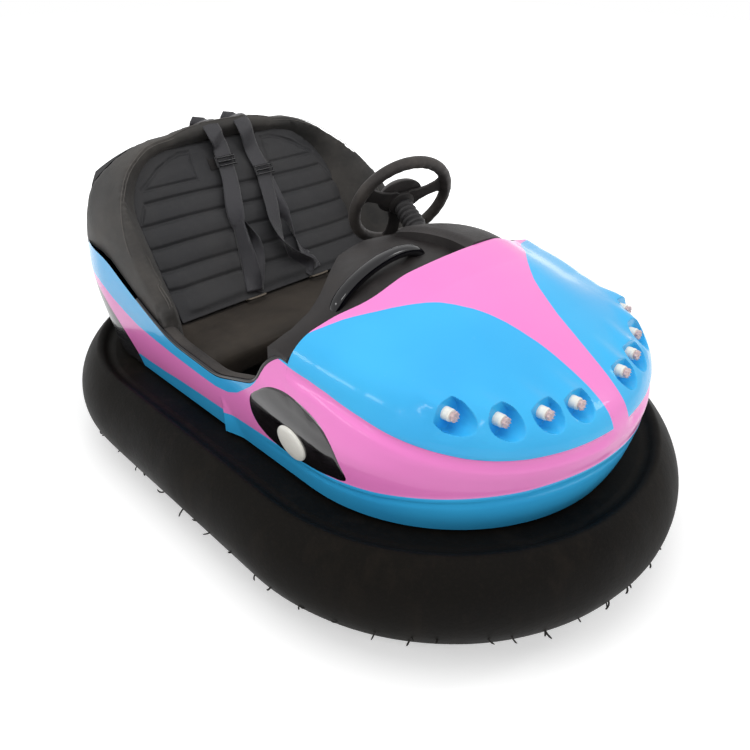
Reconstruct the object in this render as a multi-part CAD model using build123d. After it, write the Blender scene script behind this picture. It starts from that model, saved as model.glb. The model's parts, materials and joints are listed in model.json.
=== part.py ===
"""Two-seat battery bumper car: an inflated rubber ring round a steel chassis, a glass-fibre body,
a padded bench, and one steered drive wheel under the nose with two fixed wheels behind.

Millimetres. +X is the front, +Y the driver's left, +Z up. The origin is on the floor under the
middle of the rubber ring.
"""
from build123d import *
import math
import os

os.makedirs("parts", exist_ok=True)

# ---------------------------------------------------------------- driving dimensions
overall_length = 1950
overall_width = 1298
ring_width = 270               # across the rubber ring's section
ring_height = 260
ring_clearance = 45            # floor to the underside of the ring
tail_flat = 98                 # straight part of the ring across the tail
shoulder_drop = 32             # inner shoulder of the ring below its crest

hoop_wall = 8                  # steel hoop inside the ring
hoop_gap = 0.2
hoop_height = 166
hoop_base = 120
rail_size = 40                 # square tube of the chassis
rail_spread = 190              # rail centre from the middle plane
rail_base = 140
tubes_from_nose = (547, 912)   # cross tubes behind the nose and ahead of the tail
tubes_from_tail = (282, 532)
lug_thickness = 10
lug_width = 50
lug_reach = 70                 # tie-down plate behind its cross tube
jack_x = -150
jack_pad_height = 12
lug_hole = 9                   # tie-down bore radius
floor_sheet = 3
valve_radius = 5
valve_length = 26
valve_x = 120

deck_sheet = 4                 # ring plate that joins hoop and body
body_wall = 7                  # glass-fibre shell
body_base = 285                # lower edge of the body
side_gap = 149                 # ring's outside to the body at its widest, beside, ahead and behind
nose_gap = 123
tail_gap = 113
body_corner = 345              # plan radius of the body's rear corners
hood_length = 502              # nose to where the dash begins
hood_shoulder = 110            # rounding between hood top and body side
crown_axis_back = 571          # the hood top is a barrel about a cross axis this far behind the nose
crown_axis_z = -61
crown_radius = 806
crown_sag = 83                 # how much the crown drops over half the body's width
crown_start = 30               # degrees round the axis, and the angle swept
crown_sweep = 118

lamp_face = 28                 # white lamp holder diameter
pocket_radius = 31
pocket_wall = 5

flange_width = 48              # padded edge of the cockpit, from the body's widest side inwards
tub_gap = 5                    # footwell to the hoop's sides
tub_wall = 4
bulkhead_top = 500
dash_wall = 5
dash_drop = 30                 # dash skin below the hood's crown
dash_base = 520
dash_length = 295              # dash ahead of its rear edge, in the middle and at the sides
dash_side_length = 105
cowl_rise = 5
cowl_right = 40                # raised cowl in front of the driver, between this y and its left gap
cowl_left_gap = 32
handle_back = 82               # grab handle behind the hood's rear edge
handle_right = -330
handle_left = -38
handle_top = 768
handle_radius = 15
pedal_back = 80                # pedal behind the hood's rear edge
pedal_y = 215

rim_gap = 20                   # bench's side inside the body's widest side
rim_width = 40                 # padded rim at the front of the bench's sides
rim_top = 908
rim_corner = 290
rim_bow = 28                   # rise of the rim's top between its corners
dish_flare = 0.55              # how fast the dish widens towards the front
dish_half_width = 385          # at the pad's face
dish_corner = 195
back_pad = 45
base_top = 340                 # plate under the cushion
base_length = 290
cushion_top = 425
cushion_length = 213           # cushion ahead of the back's foot
strap_width = 46
strap_thickness = 3

wheel_back = 874               # steering wheel's centre behind the nose
wheel_y = 200
wheel_z = 735
column_aim = (-0.853, 0.257, 0.454)
grip_radius = 145
grip_thickness = 34
spoke_angles = (22, 158, 270)
spoke_width = 42
spoke_thickness = 8
hub_radius = 36
pad_radius = 66
pad_height = 34
shaft_radius = 10
column_length = 560
column_tunnel = 22             # hole for the column through the dash
boot_radius = 29
boot_bore = 16
boot_length = 92
boot_rings = 5

drive_back = 352               # vertical axis of the steered drive wheel behind the nose
drive_wheel_radius = 100
drive_wheel_width = 60
fork_wall = 8
fork_crown_radius = 110
pivot_radius = 20
motor_radius = 52
motor_length = 92
gear_base = 410
rear_wheel_ahead = 412         # rear axle ahead of the body's tail
rear_wheel_y = 250
rear_wheel_radius = 80
rear_wheel_width = 46
tyre_shoulder = 12             # rounding of the road tyres' edges
axle_radius = 10
running_gap = 0.05             # between an axle and its bore
moving_gap = 6                 # between pieces that move past each other

# ---------------------------------------------------------------- places that follow from the sizes
half_width = overall_width / 2
core_radius = half_width - ring_width / 2          # plan of the rubber ring's core line
core_front_x = overall_length / 2 - half_width
tail_y = tail_flat / 2
tail_core_radius = core_radius - tail_y
tail_x = -overall_length / 2 + ring_width / 2 + tail_core_radius
ring_top = ring_clearance + ring_height

hoop_inner = core_radius - ring_width / 2 - hoop_wall
pan_top = rail_base + rail_size + floor_sheet
deck_top = hoop_base + hoop_height + deck_sheet
nose = overall_length / 2 - nose_gap
tail = -overall_length / 2 + tail_gap
body_half = half_width - side_gap
hood_rear = nose - hood_length
crown_axis_x = nose - crown_axis_back
flange_inner = body_half - flange_width
tub_half = hoop_inner - tub_gap
tub_rear = tail + tubes_from_tail[-1]
dash_mid_x = hood_rear - dash_length
dash_side_x = hood_rear - dash_side_length
handle_x = hood_rear - handle_back
pedal_x = hood_rear - pedal_back
rim_half = body_half - rim_gap
back_foot = tail + 544                             # foot of the padded back
cushion_front = back_foot + cushion_length
base_front = cushion_front - 25
base_rear = base_front - base_length
wheel_centre = (nose - wheel_back, wheel_y, wheel_z)
drive_x = nose - drive_back
rear_wheel_x = tail + rear_wheel_ahead
cross_tubes = [tail + x for x in tubes_from_tail] + [nose - x for x in reversed(tubes_from_nose)]
reach = overall_length                             # cutting shapes go past every side


def save(node, solid):
    """Write one named piece."""
    export_step(solid, f"parts/{node}.step")


def one(shape):
    """The single solid of a shape, so that a node is one clean piece."""
    solids = shape.solids()
    return solids[0] if len(solids) == 1 else Compound(children=solids)


def both_sides(shape):
    """A piece and its mirror image on the other side of the car, as solids that do not touch."""
    return Compound(children=[*shape.solids(), *mirror(shape, Plane.XZ).solids()])


def slab(x0, x1, y0, y1, z0, z1):
    """A box between two corners."""
    return Pos((x0 + x1) / 2, (y0 + y1) / 2, (z0 + z1) / 2) * Box(x1 - x0, y1 - y0, z1 - z0)


def span(x0, x1, z0=0, z1=reach):
    """Everything between two cross planes and two heights, the whole width of the car."""
    return slab(x0, x1, -reach, reach, z0, z1)


def side_prism(points, half_width=reach):
    """A side outline in X and Z, carried across the car."""
    face = Plane.XZ * make_face(Polyline(*points, close=True))
    return extrude(face, amount=half_width, both=True)


# ---------------------------------------------------------------- rubber ring, hoop and chassis
def ring_plan(offset, z=0):
    """Plan outline of the ring at a distance outside its core line."""
    r = core_radius + offset
    c = tail_core_radius + offset
    half = math.sqrt(0.5)
    tail = tail_x - c
    lines = [
        ThreePointArc((core_front_x, -r), (core_front_x + r, 0), (core_front_x, r)),
        Line((core_front_x, r), (tail_x, r)),
        ThreePointArc((tail_x, r), (tail_x - c * half, tail_y + c * half), (tail, tail_y)),
        Line((tail, tail_y), (tail, -tail_y)),
        ThreePointArc((tail, -tail_y), (tail_x - c * half, -tail_y - c * half), (tail_x, -r)),
        Line((tail_x, -r), (core_front_x, -r)),
    ]
    return Pos(0, 0, z) * make_face(lines)


def carry_round(section):
    """Carry a section (outward, up) round the ring's core line."""
    front = Plane((core_front_x, -core_radius, 0), x_dir=(0, -1, 0), z_dir=(-1, 0, 0))
    corner = Plane((tail_x, -core_radius, 0), x_dir=(0, -1, 0), z_dir=(-1, 0, 0))
    tail = Plane((tail_x - tail_core_radius, -tail_y, 0), x_dir=(-1, 0, 0), z_dir=(0, 1, 0))
    nose = revolve(front * section, Axis((core_front_x, 0, 0), (0, 0, 1)), 180)
    side = extrude(front * section, amount=core_front_x - tail_x, dir=(-1, 0, 0))
    bend = revolve(corner * section, Axis((tail_x, -tail_y, 0), (0, 0, -1)), 90)
    back = extrude(tail * section, amount=2 * tail_y, dir=(0, 1, 0))
    half = side + bend
    return nose + half + mirror(half, Plane.XZ) + back


def ring_section():
    """The ring's section: a round bulge outside, a lower flat shoulder where the body sits."""
    h = ring_width / 2
    shoulder = ring_top - shoulder_drop
    waist = ring_clearance + ring_height * 0.46
    top_round = 50
    foot_round = 65
    lines = [
        Line((-h, ring_clearance + foot_round), (-h, shoulder - top_round)),
        TangentArc((-h, shoulder - top_round), (-h + top_round, shoulder), tangent=(0, 1)),
        Line((-h + top_round, shoulder), (36, ring_top - 21)),
        Line((36, ring_top - 21), (64, ring_top)),
        TangentArc((h, waist), (64, ring_top), tangent=(0, 1)),
        TangentArc((h, waist), (30, ring_clearance), tangent=(0, -1)),
        Line((30, ring_clearance), (-h + foot_round, ring_clearance)),
        TangentArc((-h, ring_clearance + foot_round), (-h + foot_round, ring_clearance), tangent=(0, -1)),
    ]
    return make_face(lines)


def build_ring():
    save("bumper_tyre", one(carry_round(ring_section())))
    stem = Cylinder(valve_radius, valve_length, align=(Align.CENTER, Align.CENTER, Align.MIN))
    save("tyre_valve", Pos(valve_x, -hoop_inner, hoop_base + 30) * Rot(-90, 0, 0) * stem)


def build_chassis():
    inner = -ring_width / 2
    hoop = extrude(ring_plan(inner - hoop_gap) - ring_plan(inner - hoop_wall), amount=hoop_height)
    save("ring_hoop", one(Pos(0, 0, hoop_base) * hoop))

    room = extrude(ring_plan(inner - hoop_wall), amount=reach)
    rails = Part()
    half = rail_size / 2
    rail_top = rail_base + rail_size
    for side in (-1, 1):
        rails += slab(-reach, reach, side * rail_spread - half, side * rail_spread + half, rail_base, rail_top)
    for x in cross_tubes:
        rails += span(x - half, x + half, rail_base, rail_top)
    save("chassis_frame", one(rails & room))
    save("floor_pan", one(room & span(cross_tubes[0] - 80, hood_rear - 5, rail_top, pan_top)))


# ---------------------------------------------------------------- body volumes
# plan of the body at each height: z, and how far the sides, nose and tail tuck in from the widest plan
body_levels = (
    (body_base, 34, 40, 7),
    (400, 18, 6, -6),
    (560, 0, 0, 0),
    (700, 10, 10, 24),
    (940, 60, 52, 82),
)
widest_level = 2


def body_plan(z, side_tuck, nose_tuck, tail_tuck, inset):
    """Plan outline of the body: a round nose, straight sides and rounded rear corners."""
    hw = body_half - side_tuck - inset
    n = nose - nose_tuck - inset
    t = tail + tail_tuck + inset
    r = body_corner - inset
    c = n - hw
    s = math.sqrt(0.5)
    lines = [
        ThreePointArc((c, -hw), (c + hw * s, -hw * s), (n, 0)),
        ThreePointArc((n, 0), (c + hw * s, hw * s), (c, hw)),
        Line((c, hw), (t + r, hw)),
        ThreePointArc((t + r, hw), (t + r - r * s, hw - r + r * s), (t, hw - r)),
        Line((t, hw - r), (t, r - hw)),
        ThreePointArc((t, r - hw), (t + r - r * s, r - r * s - hw), (t + r, -hw)),
        Line((t + r, -hw), (c, -hw)),
    ]
    return Pos(0, 0, z) * make_face(lines)


def body_volume(inset):
    return loft([body_plan(*level, inset) for level in body_levels])


def crown(inset):
    """Everything under the barrel-shaped hood top, lowered by the inset."""
    radius = crown_radius - inset
    half = half_width
    edge = radius - crown_sag * (half / body_half) ** 2
    base = crown_radius * 0.2
    profile = make_face([
        Line((-half, base), (half, base)),
        Line((half, base), (half, edge)),
        ThreePointArc((half, edge), (0, radius), (-half, edge)),
        Line((-half, edge), (-half, base)),
    ])
    start = math.radians(crown_start)
    plane = Plane((crown_axis_x, 0, crown_axis_z), x_dir=(0, 1, 0),
                  z_dir=(math.cos(start), 0, math.sin(start)))
    axis = Axis((crown_axis_x, 0, crown_axis_z), (0, 1, 0))
    return revolve(plane * profile, axis, crown_sweep)


def rounded_top(inset):
    """The crown over the body's widest plan, with the edge between them rounded over."""
    widest = extrude(body_plan(*body_levels[widest_level], inset), amount=reach, both=True)
    rear = dash_mid_x - 55
    block = widest & crown(inset) & span(rear, reach, body_base - 100)
    high = [f for f in block.faces() if f.center().Z > body_levels[widest_level][0]]
    top = max(high, key=lambda f: f.area)
    rim = [e for e in top.edges() if e.center().X > rear + 5]
    return fillet(rim, hood_shoulder - inset)


def hood_volume(inset, rear):
    """The nose of the body under its rounded top, forward of a cross plane."""
    return body_volume(inset) & rounded_top(inset) & span(rear, reach)


# side view of the cockpit's edge, from the hood back to the tail: x, z, corner radius
cockpit_edge = (
    (hood_rear + 130, 760, 0),
    (hood_rear - 160, 515, 160),
    (hood_rear - 330, 455, 160),
    (tail + 672, 470, 250),
    (tail + 372, 625, 250),
    (tail - 38, 655, 0),
)


def below_edge(drop=0):
    """Everything below the cockpit's edge, lowered by drop."""
    points = [(x, z - drop) for x, z, _ in cockpit_edge]
    radii = [r for _, _, r in cockpit_edge][1:-1]
    top = FilletPolyline(*points, radius=radii)
    x_front, z_front = points[0]
    x_tail, z_tail = points[-1]
    rest = Polyline((x_tail, z_tail), (x_tail, 0), (x_front, 0), (x_front, z_front))
    face = Plane.XZ * make_face(top.edges() + rest.edges())
    return extrude(face, amount=reach, both=True)


# ---------------------------------------------------------------- body shell
# lamps: degrees round the nose's centre, how far each lamp's face is inside the widest plan, and z
lamps = (
    (12.0, 58, 560),
    (23.2, 54, 563),
    (35.9, 50, 566),
    (49.2, 52, 580),
)
pocket_depth = 10


def lamp_frame(angle, inset, z, side):
    """A plane at a lamp, facing out over the nose."""
    turn = math.radians(angle)
    centre_x = nose - body_half
    x = centre_x + (body_half - inset) * math.cos(turn)
    y = side * (body_half - inset) * math.sin(turn)
    heading = math.atan2(y * 0.8, x - centre_x + 52)
    tilt = math.radians(28)
    out = (math.cos(heading) * math.cos(tilt), math.sin(heading) * math.cos(tilt), math.sin(tilt))
    return Plane((x, y, z), z_dir=out)


def pockets(extra):
    """The round pockets that the lamps sit in, on both sides."""
    foot = (Align.CENTER, Align.CENTER, Align.MIN)
    depth = pocket_depth + extra
    bore = Pos(0, 0, -depth) * Cylinder(pocket_radius + extra, depth + 90, align=foot)
    cut = Part()
    for lamp in lamps:
        for side in (-1, 1):
            cut += lamp_frame(*lamp, side) * bore
    return cut


# the paint's lower edge behind the cockpit, from the body's foot up: distance ahead of the tail, z
tail_sweep = ((437, body_base), (410, 325), (352, 412), (313, 465), (277, 500), (212, 530), (-38, 545))
# painted wheel on each side: x behind the hood's rear edge, z and radius of the arch and of its hub
motif_arch = (38, 383, 166)
motif_hub = (46, 402, 48)
motif_foot = 358                # flat lower edge of the arch


def tail_region():
    """The dark rear panel, under the sweep of the paint's lower edge."""
    sweep_line = [(tail + ahead, z) for ahead, z in tail_sweep]
    return side_prism([(sweep_line[0][0], 0), *sweep_line, (sweep_line[-1][0], 0)])


def side_patch(outset, depth, outline):
    """A thin patch lying on the body's right side inside an outline seen from the side."""
    skin = body_volume(-outset) - body_volume(depth)
    prism = extrude(Plane.XZ * outline, amount=reach)
    return skin & prism


def build_body():
    front = hood_volume(0, hood_rear) - pockets(0)
    front -= hood_volume(body_wall, hood_rear - 1) - pockets(pocket_wall)
    under_top = rounded_top(0) + span(-reach, dash_mid_x - 45)
    wall = (body_volume(0) - body_volume(body_wall)) & span(-reach, hood_rear) & below_edge() & under_top
    shell = front + wall
    save("body_shell", one(shell - tail_region()))
    save("rear_panel", one(shell & tail_region()))

    back, z, radius = motif_arch
    disc = Pos(hood_rear - back, z) * Circle(radius)
    above_foot = Pos(hood_rear - back, motif_foot + radius) * Rectangle(3 * radius, 2 * radius)
    save("wheel_motifs", both_sides(side_patch(2, 0, disc & above_foot)))
    back, z, radius = motif_hub
    save("motif_hubs", both_sides(side_patch(4, -2, Pos(hood_rear - back, z) * Circle(radius))))

    inner = extrude(ring_plan(-ring_width / 2 - hoop_wall), amount=reach)
    save("deck_ring", one((span(-reach, reach, deck_top - deck_sheet, deck_top) & body_volume(body_wall)) - inner))


def build_lamps():
    foot = (Align.CENTER, Align.CENTER, Align.MIN)
    holder = Pos(0, 0, -pocket_depth) * Cylinder(lamp_face / 2, 16, align=foot)
    cap = Pos(0, 0, 16 - pocket_depth) * Cylinder(lamp_face * 0.41, 8, align=foot)
    holders = []
    caps = []
    for lamp in lamps:
        for side in (-1, 1):
            frame = lamp_frame(*lamp, side)
            holders += (frame * holder).solids()
            caps += (frame * cap).solids()
    save("lamp_holders", Compound(children=holders))
    save("lamp_caps", Compound(children=caps))


# ---------------------------------------------------------------- cockpit tub, flange and dash
def build_tub(dash):
    right = slab(tub_rear, hood_rear, -reach, -flange_inner, 0, reach)
    flange = body_volume(body_wall) & (below_edge(8) - below_edge(12)) & right
    save("cockpit_flange", both_sides(flange - dash))

    bead_room = slab(tub_rear, hood_rear - 2, -reach, 0, 0, reach)
    bead = (body_volume(1) - body_volume(body_wall + 1)) & (below_edge(-5) - below_edge(0)) & bead_room
    save("cockpit_trim", both_sides(bead - dash))

    front = hood_rear - body_wall
    low = slab(tub_rear, front, -tub_half, tub_half, pan_top, deck_top + tub_wall)
    high = slab(tub_rear, front, -flange_inner, flange_inner, deck_top, rim_top)
    t = tub_wall
    low_room = slab(tub_rear - 9, front - t, -tub_half + t, tub_half - t, pan_top - 9, reach)
    high_room = slab(tub_rear - 9, front - t, -flange_inner + t, flange_inner - t, deck_top + t, reach)
    top = span(-reach, front - t) + span(0, reach, 0, bulkhead_top)
    tub = ((low + high) - low_room - high_room) & below_edge(12) & top
    save("footwell_tub", one(tub - dash))


def dash_plan(offset):
    """Plan of the dash: its rear edge bows back towards the bench."""
    side_x = dash_side_x + offset
    mid_x = dash_mid_x + offset
    front = hood_rear - 1
    half = body_half + 20
    lines = [
        ThreePointArc((side_x, -half), (mid_x, 0), (side_x, half)),
        Line((side_x, half), (front, half)),
        Line((front, half), (front, -half)),
        Line((front, -half), (side_x, -half)),
    ]
    return extrude(make_face(lines), amount=reach)


def dash_block(inset, base):
    top = body_volume(body_wall + inset) & crown(dash_drop + inset)
    return top & dash_plan(inset) & span(-reach, reach, base)


def column_frame():
    """The steering wheel's plane: x to the driver's right, y up, z at the driver."""
    aim = Vector(*column_aim).normalized()
    right = Vector(0, 0, 1).cross(aim).normalized()
    return Plane(wheel_centre, x_dir=right, z_dir=aim)


def build_dash():
    foot = (Align.CENTER, Align.CENTER, Align.MAX)
    tunnel = column_frame() * Cylinder(column_tunnel, 400, align=foot)
    outer = dash_block(0, dash_base)
    skirt_room = slab(-reach, reach, -flange_inner, flange_inner, 0, reach)
    dash = (outer - dash_block(dash_wall, 0)) - tunnel
    dash = dash & (skirt_room + span(-reach, reach, dash_base + 40))
    save("dash_panel", one(dash))

    cap = body_volume(body_wall + 1) & crown(-cowl_rise) & dash_plan(0)
    cowl_left = flange_inner - cowl_left_gap
    cap = (cap - crown(dash_drop)) & slab(-reach, hood_rear - 1, cowl_right, cowl_left, dash_base, reach)
    save("driver_cowl", one(cap - tunnel))

    foot_z = handle_top - 125
    bar_path = FilletPolyline(
        (handle_x, handle_right, foot_z), (handle_x, handle_right + 8, handle_top - 72),
        (handle_x, handle_right + 95, handle_top - 20), (handle_x, handle_left - 80, handle_top),
        (handle_x, handle_left - 12, handle_top - 24), (handle_x, handle_left, foot_z), radius=24)
    bar = sweep(Plane(bar_path @ 0, z_dir=bar_path % 0) * Circle(handle_radius), path=bar_path)
    save("grab_handle", one(bar - dash_block(0, 0)))

    wedge = [(pedal_x - 60, pan_top), (pedal_x + 60, pan_top), (pedal_x + 60, pan_top + 52)]
    pedal = side_prism(wedge, 40)
    save("accelerator_pedal", Pos(0, pedal_y, 0) * pedal)
    return outer + cap, outer


# ---------------------------------------------------------------- bench
# front face of the padded back, from its foot up: distance behind the foot, z
back_line = [(back_foot - behind, z) for behind, z in (
    (0, cushion_top + 5), (112, 560), (212, 700), (268, rim_top - 108), (280, rim_top - 58))]
# side outline of the bench's padded rim, from the tail over the top to the front and back below
surround_line = [(back_foot + ahead, z) for ahead, z in (
    (-532, 560), (-524, 640), (-462, rim_top - 188), (-372, rim_top - 108), (-307, rim_top - 28),
    (-282, rim_top), (-277, rim_top), (-262, rim_top - 40), (78, 560), (113, 442), (-45, 432))]


def arch(half, top, corner, bow, foot):
    """Straight sides from a foot, round shoulders and a bowed top, as a flat outline."""
    shoulder = top - bow
    s = math.sqrt(0.5) * corner
    inner = half - corner
    low = shoulder - corner
    return make_face([
        Line((-half, foot), (-half, low)),
        ThreePointArc((-half, low), (-inner - s, low + s), (-inner, shoulder)),
        ThreePointArc((-inner, shoulder), (0, top), (inner, shoulder)),
        ThreePointArc((inner, shoulder), (inner + s, low + s), (half, low)),
        Line((half, low), (half, foot)),
        Line((half, foot), (-half, foot)),
    ])


def dish(gap=0):
    """The hollow of the bench: an arch on the slope of the back that widens towards the front."""
    (x0, z0), (x1, z1) = back_line[0], back_line[-2]
    slope = Vector(x1 - x0, 0, z1 - z0).normalized()
    facing = Vector(0, 1, 0).cross(slope)
    top = (rim_top - 58 - z0) / slope.Z - gap
    sections = []
    for depth in (-1.5 * back_pad, 5 * back_pad):
        plane = Plane(Vector(x0, 0, z0) + facing * depth, x_dir=(0, 1, 0), z_dir=facing)
        half = dish_half_width + dish_flare * depth - gap
        sections.append(plane * arch(half, top + 0.06 * depth, dish_corner, 12, -0.5 * dish_half_width))
    return loft(sections, ruled=True) & slab(-reach, reach, rim_width - rim_half, rim_half - rim_width, 0, reach)


def build_bench():
    rear_line = [(x - back_pad, z) for x, z in back_line]
    foot_x = rear_line[0][0]
    pad = side_prism([*back_line, *reversed(rear_line)])
    save("seat_back", one(pad & dish(gap=1)))

    shelf_half = flange_inner - tub_wall - 2
    top_z = rim_top + 40
    hollow = [(foot_x, 0), *rear_line, (rear_line[-1][0], top_z), (hood_rear, top_z), (hood_rear, 0)]
    outline = extrude(Plane.YZ * arch(rim_half, rim_top, rim_corner, rim_bow, 0), amount=reach, both=True)
    surround = side_prism(surround_line) & outline & body_volume(0)
    surround -= below_edge(0) - side_prism(hollow, shelf_half)
    surround -= side_prism(hollow) & dish()
    skin = [(rim_ahead, z) for rim_ahead, z in ((-282, top_z), (-322, rim_top - 48), (-422, 560), (-700, 560),
                                                (-700, top_z))]
    behind = side_prism([(back_foot + ahead, z) for ahead, z in skin])
    save("seat_surround", one(surround - behind))
    save("seat_shell", one(surround & behind))

    board_top = 612
    t = 12
    front = [(foot_x, base_top), *[p for p in rear_line if p[1] < board_top]]
    (x0, z0), (x1, z1) = rear_line[1], rear_line[2]
    x_top = x0 + (x1 - x0) * (board_top - z0) / (z1 - z0)
    front.append((x_top, board_top))
    board = side_prism([*front, *[(x - t, z) for x, z in reversed(front)]], dish_half_width)
    w = tub_half - tub_wall - 4
    box = slab(base_rear, base_front, -w, w, pan_top, base_top)
    room = slab(base_rear + 5, base_front - 5, -w + 5, w - 5, pan_top - 9, base_top - 5)
    shelf = slab(base_rear, base_front, -shelf_half, shelf_half, base_top - 5, base_top)
    save("seat_base", one((box - room) + shelf + board))

    cushion = slab(foot_x, cushion_front, -shelf_half, shelf_half, base_top, cushion_top)
    lip = cushion.edges().filter_by(Axis.Y).group_by(Axis.X)[-1].sort_by(Axis.Z)[-1]
    save("seat_cushion", one(fillet(lip, 40)))

    save("battery_block", slab(base_rear + 20, base_front - 30, -200, 200, pan_top, pan_top + 145))


# lap and shoulder straps: distance ahead of the back's foot, distance from the middle plane, z at each bend
strap_line = [(back_foot + ahead, y, z) for ahead, y, z in (
    (-292, 58, rim_top + 4), (-272, 58, rim_top + 4), (-252, 60, rim_top - 40), (-222, 68, 800),
    (-199, 84, 702), (-99, 106, 562), (2, 125, 440))]


def strap(side):
    stations = [Vector(x, side * y, z) for x, y, z in strap_line]
    sections = []
    for i, point in enumerate(stations):
        before = stations[max(i - 1, 0)]
        after = stations[min(i + 1, len(stations) - 1)]
        run = after - before
        flat = Vector(run.X, 0, run.Z).normalized()
        frame = Plane(point, x_dir=(0, 1, 0), z_dir=flat)
        sections.append(frame * Rectangle(strap_width, strap_thickness))
    return loft(sections, ruled=True)


def build_harness():
    belts = {-1: strap(-1), 1: strap(1)}
    save("belt_right", one(belts[-1]))
    save("belt_left", one(belts[1]))
    (x, y, z), (next_x, _, next_z) = strap_line[3:5]
    slope = math.degrees(math.atan2(next_x - x, z - next_z))
    anchor_x, anchor_y, _ = strap_line[-1]
    sliders = []
    anchors = []
    for side in (-1, 1):
        block = Pos(x, side * y, z) * Rot(0, -slope, 0) * Box(12, strap_width + 14, 30)
        sliders += (block - belts[side]).solids()
        plate = Pos(anchor_x + 14, side * anchor_y, cushion_top + 4) * Box(26, strap_width + 14, 8)
        anchors += (plate - belts[side]).solids()
    save("belt_sliders", Compound(children=sliders))
    save("belt_anchors", Compound(children=anchors))


# ---------------------------------------------------------------- steering wheel and column
def build_steering(dash):
    frame = column_frame()
    foot = (Align.CENTER, Align.CENTER, Align.MIN)
    head = (Align.CENTER, Align.CENTER, Align.MAX)
    rim = Torus(grip_radius, grip_thickness / 2)
    plate = Part()
    for angle in spoke_angles:
        reach = Pos(grip_radius / 2, 0, 0) * Box(grip_radius, spoke_width, spoke_thickness)
        plate += Rot(0, 0, angle) * reach
    plate += Cylinder(hub_radius, spoke_thickness + 10)
    save("steering_wheel", one(frame * (plate - rim)))
    save("steering_grip", one(frame * rim))

    dome_base = spoke_thickness / 2 + 5
    ball_radius = (pad_radius ** 2 + pad_height ** 2) / (2 * pad_height)
    ball = Pos(0, 0, dome_base + pad_height - ball_radius) * Sphere(ball_radius)
    dome = ball & Pos(0, 0, dome_base) * Cylinder(pad_radius, pad_height + 5, align=foot)
    save("horn_pad", one(frame * dome))

    under = -(spoke_thickness / 2 + 5)
    shaft = Pos(0, 0, under) * Cylinder(shaft_radius, column_length + under, align=head)
    save("steering_shaft", frame * shaft)

    ridge = boot_length / boot_rings
    outline = [(boot_bore, 0)]
    for i in range(boot_rings):
        z = -i * ridge
        outline += [(boot_radius - 5, z), (boot_radius, z - ridge / 2)]
    outline += [(boot_radius - 5, -boot_length), (boot_radius - 5, -boot_length - 60),
                (boot_bore, -boot_length - 60)]
    profile = Plane.XZ * make_face(Polyline(*outline, close=True))
    bellows = Pos(0, 0, under - moving_gap) * revolve(profile, Axis.Z, 360)
    boot = (frame * bellows) - dash
    save("column_boot", one(max(boot.solids(), key=lambda part: part.center().Z)))

    end = frame.from_local_coords(Vector(0, 0, -column_length))
    housing = slab(end.X - 30, drive_x + 45, -45, end.Y + 40, gear_base, gear_base + 110)
    housing -= frame * Cylinder(shaft_radius + running_gap, column_length + 2, align=head)
    housing -= Pos(drive_x, 0, gear_base - 5) * Cylinder(pivot_radius + running_gap, 75, align=foot)
    save("gear_housing", one(housing))


# ---------------------------------------------------------------- drive unit and wheels
def tyre_and_hub(radius, width, bead, bore):
    """A solid rubber tyre with rounded shoulders and its hub, about the Y axis at the origin."""
    half = width / 2
    edge = half - tyre_shoulder
    section = make_face([
        Line((bead, -half), (radius - tyre_shoulder, -half)),
        TangentArc((radius, -edge), (radius - tyre_shoulder, -half), tangent=(0, -1)),
        Line((radius, -edge), (radius, edge)),
        TangentArc((radius, edge), (radius - tyre_shoulder, half), tangent=(0, 1)),
        Line((radius - tyre_shoulder, half), (bead, half)),
        Line((bead, half), (bead, -half)),
    ])
    tyre = revolve(section, Axis.Y, 360)
    turn = Rot(90, 0, 0)
    hub = turn * (Cylinder(bead, width - 6) - Pos(0, 0, width / 2) * Cylinder(bead - 8, 16)
                  - Pos(0, 0, -width / 2) * Cylinder(bead - 8, 16) + Cylinder(bore + 12, width))
    if bore:
        hub -= turn * Cylinder(bore, width + 20)
    return tyre, hub


def build_drive():
    r = drive_wheel_radius
    tyre, hub = tyre_and_hub(r, drive_wheel_width, 64, 0)
    inner = drive_wheel_width / 2 + moving_gap
    axle = Rot(90, 0, 0) * Cylinder(axle_radius, 2 * (inner + fork_wall) - 2)
    place = Pos(drive_x, 0, r)
    save("drive_tyre", place * tyre)
    save("drive_hub", one(place * (hub + axle)))

    crown_z = rail_base + rail_size + 35
    foot = (Align.CENTER, Align.CENTER, Align.MIN)
    fork = Pos(drive_x, 0, crown_z) * Cylinder(fork_crown_radius, fork_wall + 4, align=foot)
    for side in (-1, 1):
        y0, y1 = sorted((side * inner, side * (inner + fork_wall)))
        fork += slab(drive_x - 36, drive_x + 36, y0, y1, r - 32, crown_z)
    fork -= place * Rot(90, 0, 0) * Cylinder(axle_radius + running_gap, 300)
    pivot_top = gear_base + 65
    bridge_z = crown_z + fork_wall + 4 + moving_gap
    fork += Pos(drive_x, 0, crown_z) * Cylinder(pivot_radius, pivot_top - crown_z, align=foot)
    save("drive_fork", one(fork))

    motor_y = inner + fork_wall
    motor = Pos(drive_x, motor_y, r) * Rot(-90, 0, 0) * Cylinder(motor_radius, motor_length, align=foot)
    save("drive_motor", motor)

    span = rail_spread + rail_size / 2
    deck = slab(drive_x - 100, drive_x + 100, -span, span, bridge_z, bridge_z + 8)
    for side in (-1, 1):
        y0, y1 = sorted((side * (span - 8), side * span))
        deck += slab(drive_x - 100, drive_x + 100, y0, y1, rail_base + rail_size, bridge_z)
    sleeve = Pos(drive_x, 0, bridge_z) * Cylinder(pivot_radius + 12, gear_base - bridge_z, align=foot)
    bore = Pos(drive_x, 0, bridge_z - 9) * Cylinder(pivot_radius + running_gap, 400, align=foot)
    save("turntable_bridge", one(deck + sleeve - bore))


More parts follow.
